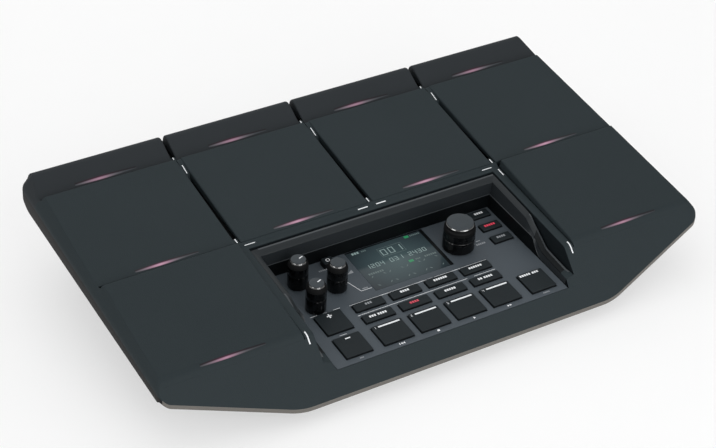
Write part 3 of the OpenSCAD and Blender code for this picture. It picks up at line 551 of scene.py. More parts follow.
# %% Front slope
inner = path + path_in * BAND_W
front_edge = inner[(inner[:, 1] < APRON_Y) & (path[:, 1] < -150)]
notch = np.array([[199.25, APRON_Y], [STRIP_X, APRON_Y], [STRIP_X, LIP_Y], [-STRIP_X, LIP_Y],
                  [-STRIP_X, APRON_Y], [-199.25, APRON_Y]])
apron_loop = np.vstack([front_edge, notch])
apron_z = front_height(apron_loop[:, 1])
apron = skin(np.stack([on_deck(*apron_loop.T, apron_z - 3.0), on_deck(*apron_loop.T, apron_z)]))
piece("front_slope", [apron], "case", deck_rubber)
print("front slope:", len(apron_loop), "points round its edge")

# %% [markdown]
# ## The strip round the well
# A low strip of rubber with rounded edges borders the well on both sides and at the back. It runs as a U:
# two lines, outer and inner, are walked together, and the points of the section share the way between
# them. At the front it turns into a toe that meets the panel.

# %% Strip round the well
TOE_Y, WALL_X = -207.22, 88.25


def strip_height(y):
    """The strip is level, climbs to meet the pads behind it, and goes down with the slope at the front."""
    climb = np.clip((y + 101.2) / 2.65, 0, 1)
    return soft_min(STRIP_Z + 1.25 * climb ** 2 * (3 - 2 * climb), front_height(y), 1.6)


foot = np.linspace(LIP_Y, -207.25, 8)
leg, leg_in = (np.concatenate([foot, np.linspace(-207.2, back, 112)]) for back in (-98.55, -104.6))
x_in = np.where(leg_in < TOE_Y, np.interp(leg_in, [LIP_Y, -207.25], [WALL_X, 89.6]), WELL_X)
x_out = np.full(120, STRIP_X)
outer_line = np.vstack([np.stack([-x_out, leg], -1), np.stack([x_out, leg[::-1]], -1)])
inner_line = np.vstack([np.stack([-x_in, leg_in], -1), np.stack([x_in, leg_in], -1)[::-1]])
quarter = np.linspace(0, np.pi / 2, 6)
edge_in = (1 - np.cos(quarter)) / 6.5
share = np.concatenate([[0], 0.7 * edge_in, [0.16, 0.22, 0.29, 0.36, 0.45], 1 - 0.6 * edge_in[::-1], [1]])
share = share[None, :, None]
flat = outer_line[:, None] * (1 - share) + inner_line[:, None] * share
free = np.clip((outer_line[:, 1:] + 193.5) / 6, 0, 1)
free = free * (1 - 0.85 * np.clip((outer_line[:, 1:] + 104) / 4, 0, 1))
free_in = np.clip((inner_line[:, 1:] + 207) / 8, 0, 1)
toe = np.where(inner_line[:, 1:] < TOE_Y, (inner_line[:, 1:] - LIP_Y) / 5.62, 0)
fall = np.concatenate([0.7 * free * (1 - np.sin(quarter)), np.zeros((len(free), 5)),
                       0.6 * free_in * (1 - np.sin(quarter[::-1])) + 1.9 * toe], 1)
top = strip_height(flat[:, 1:-1, 1]) - fall
jamb = np.full((len(top), 1), -24.5)
rail = np.concatenate([np.full((len(top), 1), TRAY_FOOT), top, jamb], 1)
rail[:, 0] = np.minimum(rail[:, 0], top[:, 0] - 3)
strip = piece("well_strip", [skin(on_deck(flat[..., 0], flat[..., 1], rail))], "case",
              deck_rubber)
strip.data.materials.append(jamb_painted_shade)
side_at = np.arange(len(strip.data.polygons)) % rail.shape[1]
# the inner wall of the strip gets painted shade
paint(strip, side_at >= 17)
print("strip:", len(strip.data.vertices), "points")

# %% [markdown]
# ## Tray under the slots
# Between the pads one looks down into narrow slots. Their floor is a tray of three flat slabs in near-black
# rubber, painted shade for the dark depth of the slots, so that nothing shows through them.

# %% Tray under the slots
def slab(x0, x1, y0, y1, z0, z1, r=0.3):
    """A deck-level slab: one rounded rectangle at two heights."""
    loop = rounded([[x0, y0], [x1, y0], [x1, y1], [x0, y1]], r, 4)
    return skin(np.stack([on_deck(*loop.T, z0), on_deck(*loop.T, z1)]))


tray = [slab(*edges, TRAY_FOOT, TRAY_Z) for edges in
        ((-201, 201, -105.1, 22.4), (-201, -95.5, -196, -105.2), (95.5, 201, -196, -105.2))]
piece("slot_tray", tray, "case", matt_black_slot_shade)
print("tray slabs:", len(tray))

# %% [markdown]
# ## Saddles in the slots
# Where four pads meet, the real skin runs through: the slots stop short of the corner and end in a
# small saddle of rubber. Each saddle is a web in the slot whose top follows the pads and then dives
# down to the tray at both ends.

# %% Saddles
def saddle(x, ys, zs, half=1.66):
    """A web along y: its top follows a smooth line through the given points, sagging across its width."""
    y = np.linspace(ys[0], ys[-1], 80)
    z = np.interp(y, ys, zs)
    z = np.convolve(np.pad(z, 3, mode="edge"), np.ones(7) / 7, "valid")
    across = np.array([-1, -0.6, -0.2, 0.2, 0.6, 1.0])
    top = z[:, None] - 0.25 * (1 - across[None] ** 2)
    w = np.concatenate([across * half, [half, -half]])[None]
    h = np.concatenate([top, np.full((80, 2), TRAY_FOOT)], 1)
    return skin(on_deck(x + w, y[:, None], h))


def main_top(y):
    """Plane of the main pads."""
    return -0.3 + (np.asarray(y) + 98.4) * PAD_RISE


saddles = []
for x in (-100.0, 0.0, 100.0):
    saddles.append(saddle(x, [-24.5, -22.0, -13.0, -11.2, -7.2, -5.8, -3.9, -2.4, 2.2, 4.4],
                          [-5.2, main_top(-22) - 1.9, main_top(-13) - 0.8, main_top(-11.2) - 0.3,
                           main_top(-7.2) - 0.3, 2.2, -2.4, -2.2, -1.2, -5.2]))
    saddles.append(saddle(x, [-98.5, -98.0, -97.0, -92.4, -90.2], [-0.9, -1.0, -1.5, -1.6, -5.2]))
piece("slot_saddles", saddles, "case", deck_rubber)
print("saddles:", len(saddles))

# %% [markdown]
# ## Light slits
# Every pad has a slim spindle-shaped slit with a pink light behind it. The glow is strongest a little
# left of the middle and dies out towards the tips. The slit's walls get painted shade, with a painted pink
# spill of the lamp where the glow is strong. So each point of the lens stores how bright it is and how near the
# core it lies, and the finish turns both into a colour.

# %% Finish of the lenses
lens_finish = bpy.data.materials.new("lamp_lens")
lens_finish.use_nodes = True
tree = lens_finish.node_tree
glow_in, core_in = tree.nodes.new("ShaderNodeAttribute"), tree.nodes.new("ShaderNodeAttribute")
glow_in.attribute_name, core_in.attribute_name = "glow", "core"
core_ramp, wall_shade_ramp = tree.nodes.new("ShaderNodeValToRGB"), tree.nodes.new("ShaderNodeValToRGB")
core_stops = ((0.0, (30, 33, 36)), (0.1, (58, 62, 66)), (0.28, (88, 86, 91)), (0.5, (120, 106, 116)),
              (0.8, (160, 124, 142)), (1.0, (192, 148, 170)))
# painted shade of the slit's walls, tinted pink as painted spill of the lamp
wall_shade_stops = ((0.0, (26, 29, 31)), (0.5, (46, 32, 40)), (1.0, (62, 32, 48)))
for ramp, stops in ((core_ramp, core_stops), (wall_shade_ramp, wall_shade_stops)):
    for place, _ in stops[1:-1]:
        ramp.color_ramp.elements.new(place)
    for element, (_, colour) in zip(ramp.color_ramp.elements, stops):
        element.color = screen(*colour)
    tree.links.new(glow_in.outputs["Fac"], ramp.inputs["Fac"])
blend = tree.nodes.new("ShaderNodeMix")
blend.data_type = "RGBA"
tree.links.new(core_in.outputs["Fac"], blend.inputs["Factor"])
tree.links.new(wall_shade_ramp.outputs["Color"], blend.inputs["A"])
tree.links.new(core_ramp.outputs["Color"], blend.inputs["B"])
shader = tree.nodes["Principled BSDF"]
shader.inputs["Base Color"].default_value = screen(8, 8, 8)
shader.inputs["Roughness"].default_value = 0.4
shader.inputs["Specular IOR Level"].default_value = 0.1
shader.inputs["Emission Strength"].default_value = 1.0
tree.links.new(blend.outputs["Result"], shader.inputs["Emission Color"])
print("stops from dark to pink:", len(core_stops))

# %% [markdown]
# ## Shape of the slits
# A lens is a spindle whose half width falls off by a power of the way to its tips. It follows the upper
# face of its pad and reaches into the rubber, so that no gap opens below it when the pad sinks.

# %% Light slits
SLIT_HALF, LENS_DEPTH = 22.5, 1.3


def top_line(profile):
    """Height of a pad's upper face over y, from the upper half of its profile."""
    upper = profile[profile[:, 1] > FOOT_Z + 1.2]
    order = np.argsort(upper[:, 0])
    return lambda y: np.interp(y, upper[order, 0], upper[order, 1])


def slit(x, y, height, power, width):
    """A spindle along x: its core swells by a power of the way to the tips, with a strip behind it whose
    painted shade stands for the slit's far wall.
    """
    u = np.linspace(-1, 1, 61)[:, None]
    half = width * (1.05 * (1 - np.abs(u + 0.15) ** 1.6 / 1.15 ** 1.6).clip(0) + 0.35)
    ys = y + np.concatenate([-half - 0.15, -half, -0.4 * half, 0.2 * half, half, half + 0.2, half + 1.0], 1)
    z = height(ys) + 0.05
    ring_y = np.concatenate([ys, ys[:, ::-1]], 1)
    ring_z = np.concatenate([z, z[:, ::-1] - LENS_DEPTH], 1)
    along = np.interp(u, [-1, -0.7, -0.4, -0.2, 0, 0.2, 0.4, 0.6, 1],
                      [0.15, 0.5, 0.88, 1, 0.82, 0.5, 0.28, 0.15, 0.1])
    core = np.array([0.3, 0.6, 1, 1, 0.5, 0, 0])
    core = np.concatenate([core, core[::-1]])[None]
    values = np.stack([power * along + 0 * core, core + 0 * along], -1)
    return skin(on_deck(x + u * SLIT_HALF + 0 * ring_y, ring_y, ring_z)), values.reshape(-1, 2)


slits = [slit(x, 1.0, top_line(bar_profile), 0.78, 0.6) for x in columns]
slits += [slit(x, -95.8, top_line(main_profile), 1.0, 0.74) for x in columns]
slits += [slit(x, -190.1, top_line(side_profile), 0.9, 0.52) for x in (-150.0, 150.0)]
lamps = piece("lamp_lenses", [s for s, _ in slits], "case", lens_finish,
              stands_for=("light_pipes",))
for k, label in enumerate(("glow", "core")):
    values = np.concatenate([b[:, k] for _, b in slits]).astype(np.float32)
    lamps.data.attributes.new(label, "FLOAT", "POINT").data.foreach_set("value", values)
print("light slits:", len(slits))

# %% [markdown]
# ## The well
# The panel lies in a well with a sloping bezel. Along both sides the bezel dives towards the front and
# becomes a low ridge beside the panel. It is one section carried round a U: its height comes from a
# line over y, and the wall below leans outwards above a small ledge.

# %% Lines of the bezel
RIM_Y = [-260, -190.7 - 15 / FALL, -177.2, -154.7, 0]
RIM_Z = [FALL * (-260 + 190.7), -15, -15, -3.3, -3.3]
rim_line = np.interp(line_y, RIM_Y, RIM_Z)
weights = np.exp(-0.5 * (np.arange(-50, 51) / 14.0) ** 2)
rim_soft = np.convolve(np.pad(rim_line, 50, mode="edge"), weights / weights.sum(), "valid")


def rim_height(y):
    """Height of the bezel's outer edge: level, a dive, level again, then down with the front slope."""
    return np.interp(y, line_y, rim_soft)


def around_well(x, back):
    """A U seen from above: up the left side, across the back and down the right side."""
    side = np.linspace(-207.1, back, 90)
    across = np.linspace(-x, x, 40)[1:-1]
    xs = np.concatenate([np.full(90, -x), across, np.full(90, x)])
    ys = np.concatenate([side, np.full(38, back), side[::-1]])
    return np.stack([xs, ys], -1)


outer_u, inner_u, ledge_u, wall_u = (around_well(x, y) for x, y in
                                     ((95.0, -105.6), (90.7, -112.1), (88.85, -113.1), (WALL_X, -113.7)))
print("stations round the well:", len(wall_u))

# %% [markdown]
# ## The bezel's section
# From the panel up: a wall, a ledge, a leaning wall, the sloping rim with rolled edges, and back down on
# the outside. Where the rim dives, the wall gets shorter and the ledge fades out, so each height is worked
# out from the room that is left above the panel.

# %% Well with its bezel
beside = np.interp(outer_u[:, 1], [-206, -200, -160, -150], [0.42, -0.7, -0.7, 0])
outer_u[:, 0] += beside * np.sign(outer_u[:, 0]) * (np.abs(outer_u[:, 0]) > 94.9)
panel_z = -PANEL_DROP - (wall_u[:, 1] - PANEL_Y) * math.tan(PANEL_TURN)
z_out, z_top = rim_height(outer_u[:, 1]), rim_height(inner_u[:, 1])
z_in = z_top - np.interp(z_top, [-15, -3.3], [1.6, 1.4])
room = z_in - panel_z
z_ledge = panel_z + np.minimum(11, (room - 0.9) * np.clip((room - 4.6) / 6, 0.03, 1))
lean = np.interp(z_in, [-16.6, -4.7], [0.35, 0.92])[:, None]
inner_u = ledge_u * (1 - lean) + inner_u * lean
ledge_u = wall_u + (ledge_u - wall_u) * np.clip((z_ledge - panel_z) / 4, 0, 1)[:, None]
slope_way = (outer_u - inner_u) / np.linalg.norm(outer_u - inner_u, axis=1)[:, None]
section = [(wall_u, panel_z - 4), (wall_u, z_ledge), (ledge_u, z_ledge + 0.2), (inner_u, z_in - 0.7),
           (inner_u + 0.15 * slope_way, z_in - 0.2), (inner_u + 0.6 * slope_way, z_in + 0.1),
           (outer_u - 1.8 * slope_way, z_out - 0.22), (outer_u - 0.35 * slope_way, z_out - 0.12),
           (outer_u, z_out - 0.5), (outer_u, panel_z - 4)]
rings = np.stack([on_deck(at[:, 0], at[:, 1], z) for at, z in section], 1)
bezel = piece("well_bezel", [skin(rings)], "case", bezel_plastic, sharp=30,
              stands_for=("control_well",))
print("well bezel:", len(bezel.data.vertices), "points")

# %% [markdown]
# ## Shades of the well
# The real well is one black plastic. Its finishes paint light and shade on it: a painted highlight along the
# rear edge, painted light on the ledge and the leaning wall, and painted shade below and on the ridge. At the
# front it runs out into the rubber. The finish is chosen by side and station.

# %% Shades of the well
for finish in (well_plastic, bezel_painted_highlight, wall_painted_light, ledge_painted_light, deck_rubber, ridge_painted_shade):
    bezel.data.materials.append(finish)
face = np.arange(len(bezel.data.polygons))
station, side_at = np.minimum(face // len(section), len(outer_u) - 1), face % len(section)
# each side of the section takes a painted tone of the same black plastic
by_side = np.array([1, 4, 3, 0, 0, 0, 0, 0, 1, 1])[side_at]
rear_highlight_faces = (np.abs(outer_u[station, 0]) < 94.9) & (side_at > 5) & (side_at < 8)
ridge_shade_faces = (outer_u[station, 1] < -163) & (side_at > 2) & (side_at < 8)
at_front = (outer_u[station, 1] < -200) & (side_at > 2) & (side_at < 8)
paint(bezel, np.select([rear_highlight_faces, at_front, ridge_shade_faces], [2, 5, 6], by_side))
print("finishes of the well:", len(bezel.data.materials))

# %% [markdown]
# ## Nodes that keep their CAD shape
# The panel, the case and the parts at the back are right as they come, so they stay. Moulded parts
# have tiny rounded edges that catch the light, and a Weld and a Bevel modifier add them without
# touching the mesh.

# %% Dressing CAD nodes
def dress(finish, edge, *names):
    """Gives CAD nodes a finish and, where edge is above zero, edges softened by that many millimetres."""
    for name in names:
        node = nodes[name]
        node.data.materials.clear()
        node.data.materials.append(finish)
        if edge > 0:
            node.modifiers.new("weld", "WELD").merge_threshold = 1e-6
            soft = node.modifiers.new("soft_edges", "BEVEL")
            soft.width, soft.segments = edge * 0.001, 2
            soft.limit_method, soft.angle_limit = "ANGLE", math.radians(40)


# the panel's grey is a painted reflection
dress(panel_plastic, 0.2, "control_panel")
dress(steel, 0, "display_module", "case_screws", "usb_socket", "pot_bodies",
      "knob_shaft_1", "knob_shaft_2", "knob_shaft_3", "dial_shaft")
dress(board_green, 0, "main_board", "panel_board", "light_boards")
dress(socket_black, 0, "key_switches", "power_switch")
dress(socket_black, 0.3, "phone_jacks", "mini_jacks", "dc_inlet", "power_button")
dress(plate_paint, 0.15, "jack_plate")
dress(case_plastic, 0.5, "bottom_case")
dress(foot_rubber, 0.6, "rubber_feet")
dress(brass, 0.2, "stand_inserts")
dress(brass, 0, "pad_sensors")
print("CAD nodes dressed")

# %% [markdown]
# ## Keys
# A key is a stack of rounded rectangles: straight sides, a small rolled edge, and a top that dips a
# little towards its middle so that the finger finds it.

# %% Places of the keys
KEY_X = [-39.2, -11.6, 16.0, 43.6]
keys = {f"mode_key_{i + 1}": (x, -7.64, 22.4, 7.4, 1.6) for i, x in enumerate(KEY_X)}
keys |= {f"loop_key_{i + 1}": (x, -20.04, 22.4, 7.4, 1.6) for i, x in enumerate(KEY_X)}
keys |= {f"number_key_{i + 1}": (x, -38.04, 22.4, 18.6, 1.6) for i, x in enumerate(KEY_X)}
keys |= {"plus_key": (-68.5, -13.09, 19.5, 19.5, 1.6), "minus_key": (-68.5, -37.59, 19.5, 19.5, 1.6),
         "shift_key": (72.6, -37.59, 19.5, 19.5, 1.6), "click_key": (-43.0, 41.06, 8.0, 6.6, 4.0),
         "menu_key": (77.3, 40.66, 15.4, 7.4, 1.6), "exit_key": (77.3, 26.36, 15.4, 7.4, 1.6),
         "enter_key": (77.3, 12.06, 15.4, 7.4, 1.6)}
print("keys to make:", len(keys))

# %% [markdown]
# ## Shape of a key
# A bevelled box would do from afar, but the rolled edge and the shallow dish catch the light as moulded
# keys do. Eight outlines, each a little smaller than the last, give both. The sides get a darker finish:
# painted shade.

# %% Keys
def key_skin(x, v, w, d, rise):
    """Rounded rectangles stacked upwards: inset and height follow a rolled edge, then a shallow dish."""
    inset = np.array([0, 0, 0.05, 0.18, 0.36, 0.6, 1.5, 2.6])
    height = np.array([-3.2 - rise, -0.6, -0.33, -0.14, -0.04, 0, -0.05, -0.1]) + rise
    rings = []
    for i, h in zip(inset, height):
        a, b = w / 2 - i, d / 2 - i
        loop = rounded([[-a, -b], [a, -b], [a, b], [-a, b]], max(0.9 - i, 0.25), 5)
        rings.append(on_panel(x + loop[:, 0], v + loop[:, 1], h))
    return skin(np.stack(rings))


for name, place in keys.items():
    cap = piece(name + "_cap", [key_skin(*place)], name, key_plastic, stands_for=(name,))
    cap.data.materials.append(key_side_shade)
    ring_at = np.arange(len(cap.data.polygons)) // 20
    # the two lowest rings, the sides, get painted shade
    paint(cap, ring_at < 2)
print("keys made:", len(keys))

# %% [markdown]
# ## Knobs and dial
# The knobs are glossy black with flat grips cut round the waist, a bright chamfer under the top and a
# matt grey lid. Each is a circle carried upwards; at the grips the circle turns into a polygon.

# %% Turned parts
around = np.linspace(0, 2 * np.pi, 144, endpoint=False)


def turned(x, v, heights, radii, grips, sides):
    """Rings of a turned part: radius by height, blended by grips towards a polygon of so many sides."""
    step = 2 * np.pi / sides
    flat_side = math.cos(step / 2) / np.cos((around % step) - step / 2)
    g = np.asarray(grips, float)[:, None]
    r = np.asarray(radii, float)[:, None] * ((1 - g) + g * flat_side[None])
    high = np.asarray(heights, float)[:, None]
    return skin(on_panel(x + r * np.cos(around), v + r * np.sin(around), high))


def shine_edge(made, row):
    """Gives the ring of a turned part that is its chamfer a polish, and the shoulder below it a matt finish."""
    made.data.materials.append(knob_edge)
    made.data.materials.append(matt_black_slot_shade)
    row_at = np.arange(len(made.data.polygons)) // len(around)
    paint(made, np.select([row_at == row, (row_at < row) & (row_at > row - 6)], [1, 2], 0))


print("points round a turned part:", len(around))

# %% [markdown]
# ## Three knobs
# Body and lid are two pieces on the same knob. The body's waist has two rows of flats with a groove
# between them, and its shoulder is a cone that leads to the bright chamfer.

# %% Knobs
KNOBS = [(-71.2, 31.01), (-49.6, 16.71), (-72.1, 4.61)]
for i, (x, v) in enumerate(KNOBS):
    name = f"knob_{i + 1}"
    body = turned(x, v, [0.9, 1.2, 10.8, 11.1, 11.4, 17.2, 17.7, 18.6, 19.4, 20.2, 21.0, 21.3, 22.1, 22.25],
                  [6.8, 7.0, 7.0, 6.8, 7.0, 7.0, 6.93, 6.75, 6.5, 6.2, 5.85, 5.7, 5.1, 4.8],
                  [0, 0.6, 0.6, 0, 1, 1, 0, 0, 0, 0, 0, 0, 0, 0], 16)
    grip = piece(name + "_grip", [body], name, knob_gloss, sharp=25, stands_for=(name,))
    shine_edge(grip, 11)
    lid = turned(x, v, [21.0, 22.2, 22.42, 22.5, 22.46], [4.95, 4.95, 4.85, 4.5, 2.0], [0] * 5, 18)
    piece(name + "_lid", [lid], name, knob_top)
print("knobs:", len(KNOBS))

# %% [markdown]
# ## The dial
# The dial is made as the knobs are, only wider and lower, with twenty flats. It turns without end, so its
# lid carries no pointer.

# %% Dial
DIAL = (45.75, 17.91)
body = turned(*DIAL, [0.9, 1.3, 9.6, 9.9, 10.3, 15.4, 15.9, 17.6, 18.5, 18.8, 20.5, 21.1, 21.2],
              [10.9, 11.2, 11.1, 10.85, 11.1, 10.95, 10.8, 10.7, 10.1, 9.95, 9.8, 9.36, 9.2],
              [0, 0.5, 0.5, 0, 1, 1, 0, 0, 0, 0, 0, 0, 0], 20)
grip = piece("value_dial_grip", [body], "value_dial", knob_gloss, sharp=25,
             stands_for=("value_dial",))
shine_edge(grip, 10)
lid = turned(*DIAL, [20.0, 21.1, 21.4, 21.5, 21.35], [9.3, 9.3, 9.1, 8.7, 3.5], [0] * 5, 22)
piece("value_dial_lid", [lid], "value_dial", knob_top)
print("dial made at", DIAL)

# %% [markdown]
# ## Display
# A dim backlit display sits behind a flush window. The window is a thin slab whose finish glows
# teal in the middle and darker at the edges; what it shows is only a plain number, bars and ticks.

# %% Finish of the display
SCREEN_X, SCREEN_V = 2.8, 23.41
screen_finish = bpy.data.materials.new("screen_glass")
screen_finish.use_nodes = True
tree = screen_finish.node_tree
where = tree.nodes.new("ShaderNodeTexCoord")
centre = tree.nodes.new("ShaderNodeMapping")
middle = on_panel(SCREEN_X, SCREEN_V, 0)
centre.inputs["Scale"].default_value = (26.0, 34.0, 30.0)
centre.inputs["Location"].default_value = (-middle[0] * 26.0, -middle[1] * 34.0, -middle[2] * 30.0)
ball = tree.nodes.new("ShaderNodeTexGradient")
ball.gradient_type = "SPHERICAL"
shade = tree.nodes.new("ShaderNodeValToRGB")
shade.color_ramp.elements[0].color = screen(34, 42, 46)
shade.color_ramp.elements[1].color = screen(74, 93, 95)
shade.color_ramp.elements.new(0.35).color = screen(53, 67, 71)
shader = tree.nodes["Principled BSDF"]
shader.inputs["Base Color"].default_value = screen(18, 22, 25)
shader.inputs["Roughness"].default_value = 0.12
shader.inputs["Specular IOR Level"].default_value = 0.15
shader.inputs["Emission Strength"].default_value = 0.75
tree.links.new(where.outputs["Object"], centre.inputs["Vector"])
tree.links.new(centre.outputs["Vector"], ball.inputs["Vector"])
tree.links.new(ball.outputs["Fac"], shade.inputs["Fac"])
tree.links.new(shade.outputs["Color"], shader.inputs["Emission Color"])
print("display middle in metres:", middle.round(4))

# %% [markdown]
# ## The window
# The window fills its hole in the panel, and a thin cover lies over it, with dark strips along its right and
# back edges as painted shade of the recess's walls.
# Both are plates: one rounded rectangle at two heights. Everything on it is measured from its middle.

# %% Display
def plate(x0, x1, v0, v1, w0, w1, r=0.0):
    """A thin printed or glazed rectangle between two heights, with rounded corners where r is above zero."""
    corners = np.array([[x0, v0], [x1, v0], [x1, v1], [x0, v1]])
    loop = rounded(corners, r, 4) if r > 0 else corners
    return skin(np.stack([on_panel(*loop.T, w0), on_panel(*loop.T, w1)]))


def on_screen(x0, x1, v0, v1, w0, w1, r=0.0):
    """A plate on the display, measured from the middle of the display."""
    return plate(SCREEN_X + x0, SCREEN_X + x1, SCREEN_V + v0, SCREEN_V + v1, w0, w1, r)


glass = [on_screen(-30.1, 30.1, -20.05, 20.05, -2.4, 0.0, 0.5),
         on_screen(-30.4, 30.4, -20.4, 22.5, 0.02, 0.08, 0.5)]
piece("screen_window", glass, "case", screen_finish, stands_for=("display_window",))
# painted shade: dark strips along the right and back edges of the display
edge = [on_screen(27.8, 30.3, -20.3, 22.4, 0.08, 0.1, 0.3),
        on_screen(-30.3, 27.7, 21.3, 22.4, 0.08, 0.1, 0.3)]
piece("screen_edge_shade", edge, "case", well_plastic)
print("display window made")

# %% [markdown]
# ## Printed marks
# Prints are real ink on the real object, so here they are very thin plates lying on the surface that
# carries them, and they ride with it. Some inks only reflect light and others glow, so the glowing ones
# get an emission that is mottled by a fine noise.

# %% Inks and lit inks
def lit(name, colour, edge_colour, strength):
    """A glowing print: emission mottled between two colours by a fine noise."""
    made = bpy.data.materials.new(name)
    made.use_nodes = True
    tree = made.node_tree
    place, noise, mix = (tree.nodes.new(kind) for kind in
                         ("ShaderNodeTexCoord", "ShaderNodeTexNoise", "ShaderNodeMix"))
    mix.data_type = "RGBA"
    noise.inputs["Scale"].default_value = 700.0
    mix.inputs["A"].default_value, mix.inputs["B"].default_value = screen(*colour), screen(*edge_colour)
    shader = tree.nodes["Principled BSDF"]
    shader.inputs["Base Color"].default_value = screen(20, 20, 20)
    shader.inputs["Roughness"].default_value = 0.4
    shader.inputs["Emission Strength"].default_value = strength
    tree.links.new(place.outputs["Object"], noise.inputs["Vector"])
    tree.links.new(noise.outputs["Fac"], mix.inputs["Factor"])
    tree.links.new(mix.outputs["Result"], shader.inputs["Emission Color"])
    return made


red_lit = lit("red_lit", (226, 58, 84), (190, 40, 66), 0.9)
screen_text = lit("screen_text", (150, 170, 168), (128, 150, 150), 0.8)
screen_dim = lit("screen_dim", (96, 112, 112), (82, 98, 98), 0.8)
screen_green = lit("screen_green", (44, 150, 96), (36, 128, 84), 0.8)
grey_ink = moulded("grey_ink", (128, 132, 136), (142, 146, 150), 2400, 0.05, 0.5, 0.6)
print("inks ready")

# %% [markdown]
# ## A small set of marks
# Numbers are built from seven straight strokes, as on a pocket calculator. Small blocks in a row, lines and
# signs with straight sides give the rest. Text objects would do as well, but strokes keep the meshes tiny.

# %% Marks built from thin plates
SEGMENTS = {"a": (0, 1, 1.85, 2), "b": (0.85, 1, 1, 2), "c": (0.85, 1, 0, 1), "d": (0, 1, 0, 0.15),
            "e": (0, 0.15, 0, 1), "f": (0, 0.15, 1, 2), "g": (0, 1, 0.93, 1.07)}
DIGITS = {"0": "abcdef", "1": "bc", "2": "abged", "3": "abgcd", "4": "fgbc", " ": ""}


def number(text, x, v, size, w0, w1, bold=1.0, wide=1.0):
    """Digits of straight strokes: each stroke is a plate in a box one wide and two tall, times the size."""
    plates = []
    for i, digit in enumerate(text):
        for letter in DIGITS[digit]:
            a, b, c, d = SEGMENTS[letter]
            grow = 0.15 * (bold - 1) / 2
            left = x + (a * wide - grow + 1.5 * wide * i) * size
            right = x + (b * wide + grow + 1.5 * wide * i) * size
            plates.append(plate(left, right, v + (c - grow) * size, v + (d + grow) * size, w0, w1))
    return plates


def caption(x, v, blocks, size, w0, w1):
    """A row of small upright blocks centred on x: o is a block and a space is a gap, times the size."""
    wide = np.where(np.array(list(blocks)) == " ", 0.7, 1.2) * size
    left = x - wide.sum() / 2 + np.concatenate([[0], np.cumsum(wide)[:-1]])
    return [plate(a, a + 0.88 * size, v - 0.62 * size, v + 0.62 * size, w0, w1)
            for a, block in zip(left, blocks) if block == "o"]


def sign(points, w0, w1):
    """A flat sign with straight sides, such as an arrow head."""
    loop = np.array(points, float)
    return skin(np.stack([on_panel(*loop.T, w0), on_panel(*loop.T, w1)]))


INK, TOP, GLOW = (0.0, 0.05), (1.52, 1.64), (0.08, 0.12)
print("strokes:", len(SEGMENTS), "digits:", len(DIGITS) - 1)

# %% [markdown]
# ## Marks on the keys
# The four large keys carry a number and a white bar, two square ones a plus and a minus, and the flat keys
# a row of blocks. Each print rides on its own key and goes down with it.

# %% Marks on the keys
for i, x in enumerate(KEY_X):
    on_key = number("1234"[i], x - 9.6, -31.9, 0.95, *TOP, 1.3)
    on_key += [plate(x - 6.6, x + 9.4, -31.3, -30.1, *TOP)]
    piece(f"number_key_{i + 1}_print", on_key, f"number_key_{i + 1}", white_ink)
plus = [plate(-70.3, -66.7, -7.5, -6.5, *TOP), plate(-69.0, -68.0, -8.8, -5.2, *TOP)]
piece("plus_key_print", plus, "plus_key", white_ink)
minus = [plate(-70.3, -66.7, -31.4, -30.5, *TOP)]
piece("minus_key_print", minus, "minus_key", white_ink)
shift = caption(71.6, -30.0, "ooooo ooo", 1.45, *TOP)
piece("shift_key_print", shift, "shift_key", white_ink)
rows = {"mode_key_1": "ooo", "mode_key_2": "oooo", "mode_key_3": "oooooo", "mode_key_4": "oooooo",
        "loop_key_1": "ooo oooo", "loop_key_2": "oooo", "loop_key_3": "ooooo", "loop_key_4": "oo oooo",
        "menu_key": "oooo", "exit_key": "ooooo", "enter_key": "oooo"}
inks = {"loop_key_2": red_lit, "exit_key": red_lit, "mode_key_1": grey_ink, "enter_key": grey_ink}
for name, blocks in rows.items():
    x, v = keys[name][:2]
    on_key = caption(x, v + 0.6, blocks, 1.45, *TOP)
    piece(name + "_print", on_key, name, inks.get(name, white_ink))
centre = keys["click_key"][:2]
ring = [turned(*centre, [3.9, 4.04], [1.5, 1.5], [0, 0], 24)]
piece("click_key_print", ring, "click_key", white_ink)
dot = [turned(*centre, [3.9, 4.07], [1.0, 1.0], [0, 0], 24)]
piece("click_key_dot", dot, "click_key", key_plastic)
print("key prints made:", len(rows) + 9)

# %% [markdown]
# ## Lines and blocks on the panel
# Thin white lines tie the rows of keys together, and a bent line leads from the second knob to the
# display. They lie 0.05 mm above the panel: far enough not to flicker, too low to be seen from the side.

# %% Lines and blocks on the panel
THIN = 0.32


def rule(x0, x1, v):
    """A thin printed line along x whose lower edge lies at v."""
    return plate(x0, x1, v, v + THIN, *INK)


panel_lines = [rule(-51.0, 8.0, -2.76), rule(14.0, 55.0, -2.76), rule(-51.0, 33.0, -14.0),
               rule(38.5, 55.0, -14.0), rule(-79.5, -74.5, -1.6), rule(-62.5, -57.5, -1.6),
               rule(-71.0, -66.0, -25.6)]
lead = np.array([[-40.6, 19.6], [-36.6, 6.8], [-28.5, 6.8]])
panel_lines.append(sign([lead[0], lead[0] + [0.35, 0.1], lead[1] + [0.25, 0.3], lead[2] + [0, 0.3],
                         lead[2], lead[1]], *INK))
spots = ((11.0, -2.6, "oooo", 0.85), (-68.5, -1.4, "ooo", 0.85), (-68.5, -49.6, "ooo", 0.85),
         (72.6, -49.6, "ooooo", 0.85), (-48.5, 37.0, "ooooo", 1.1), (-32.5, 8.6, "oooo", 0.85),
         (61.5, 13.4, "ooooo", 1.25))
captions = [block for spot in spots for block in caption(*spot, *INK)]
captions += [plate(59.6, 62.8, 16.4, 17.1, *INK), sign([[-36.6, 25.8], [-31.6, 25.8], [-31.6, 29.0]], *INK)]
piece("panel_lines", panel_lines, "case", white_ink)
piece("panel_captions", captions, "case", grey_ink)
print("lines:", len(panel_lines), "blocks:", len(captions))

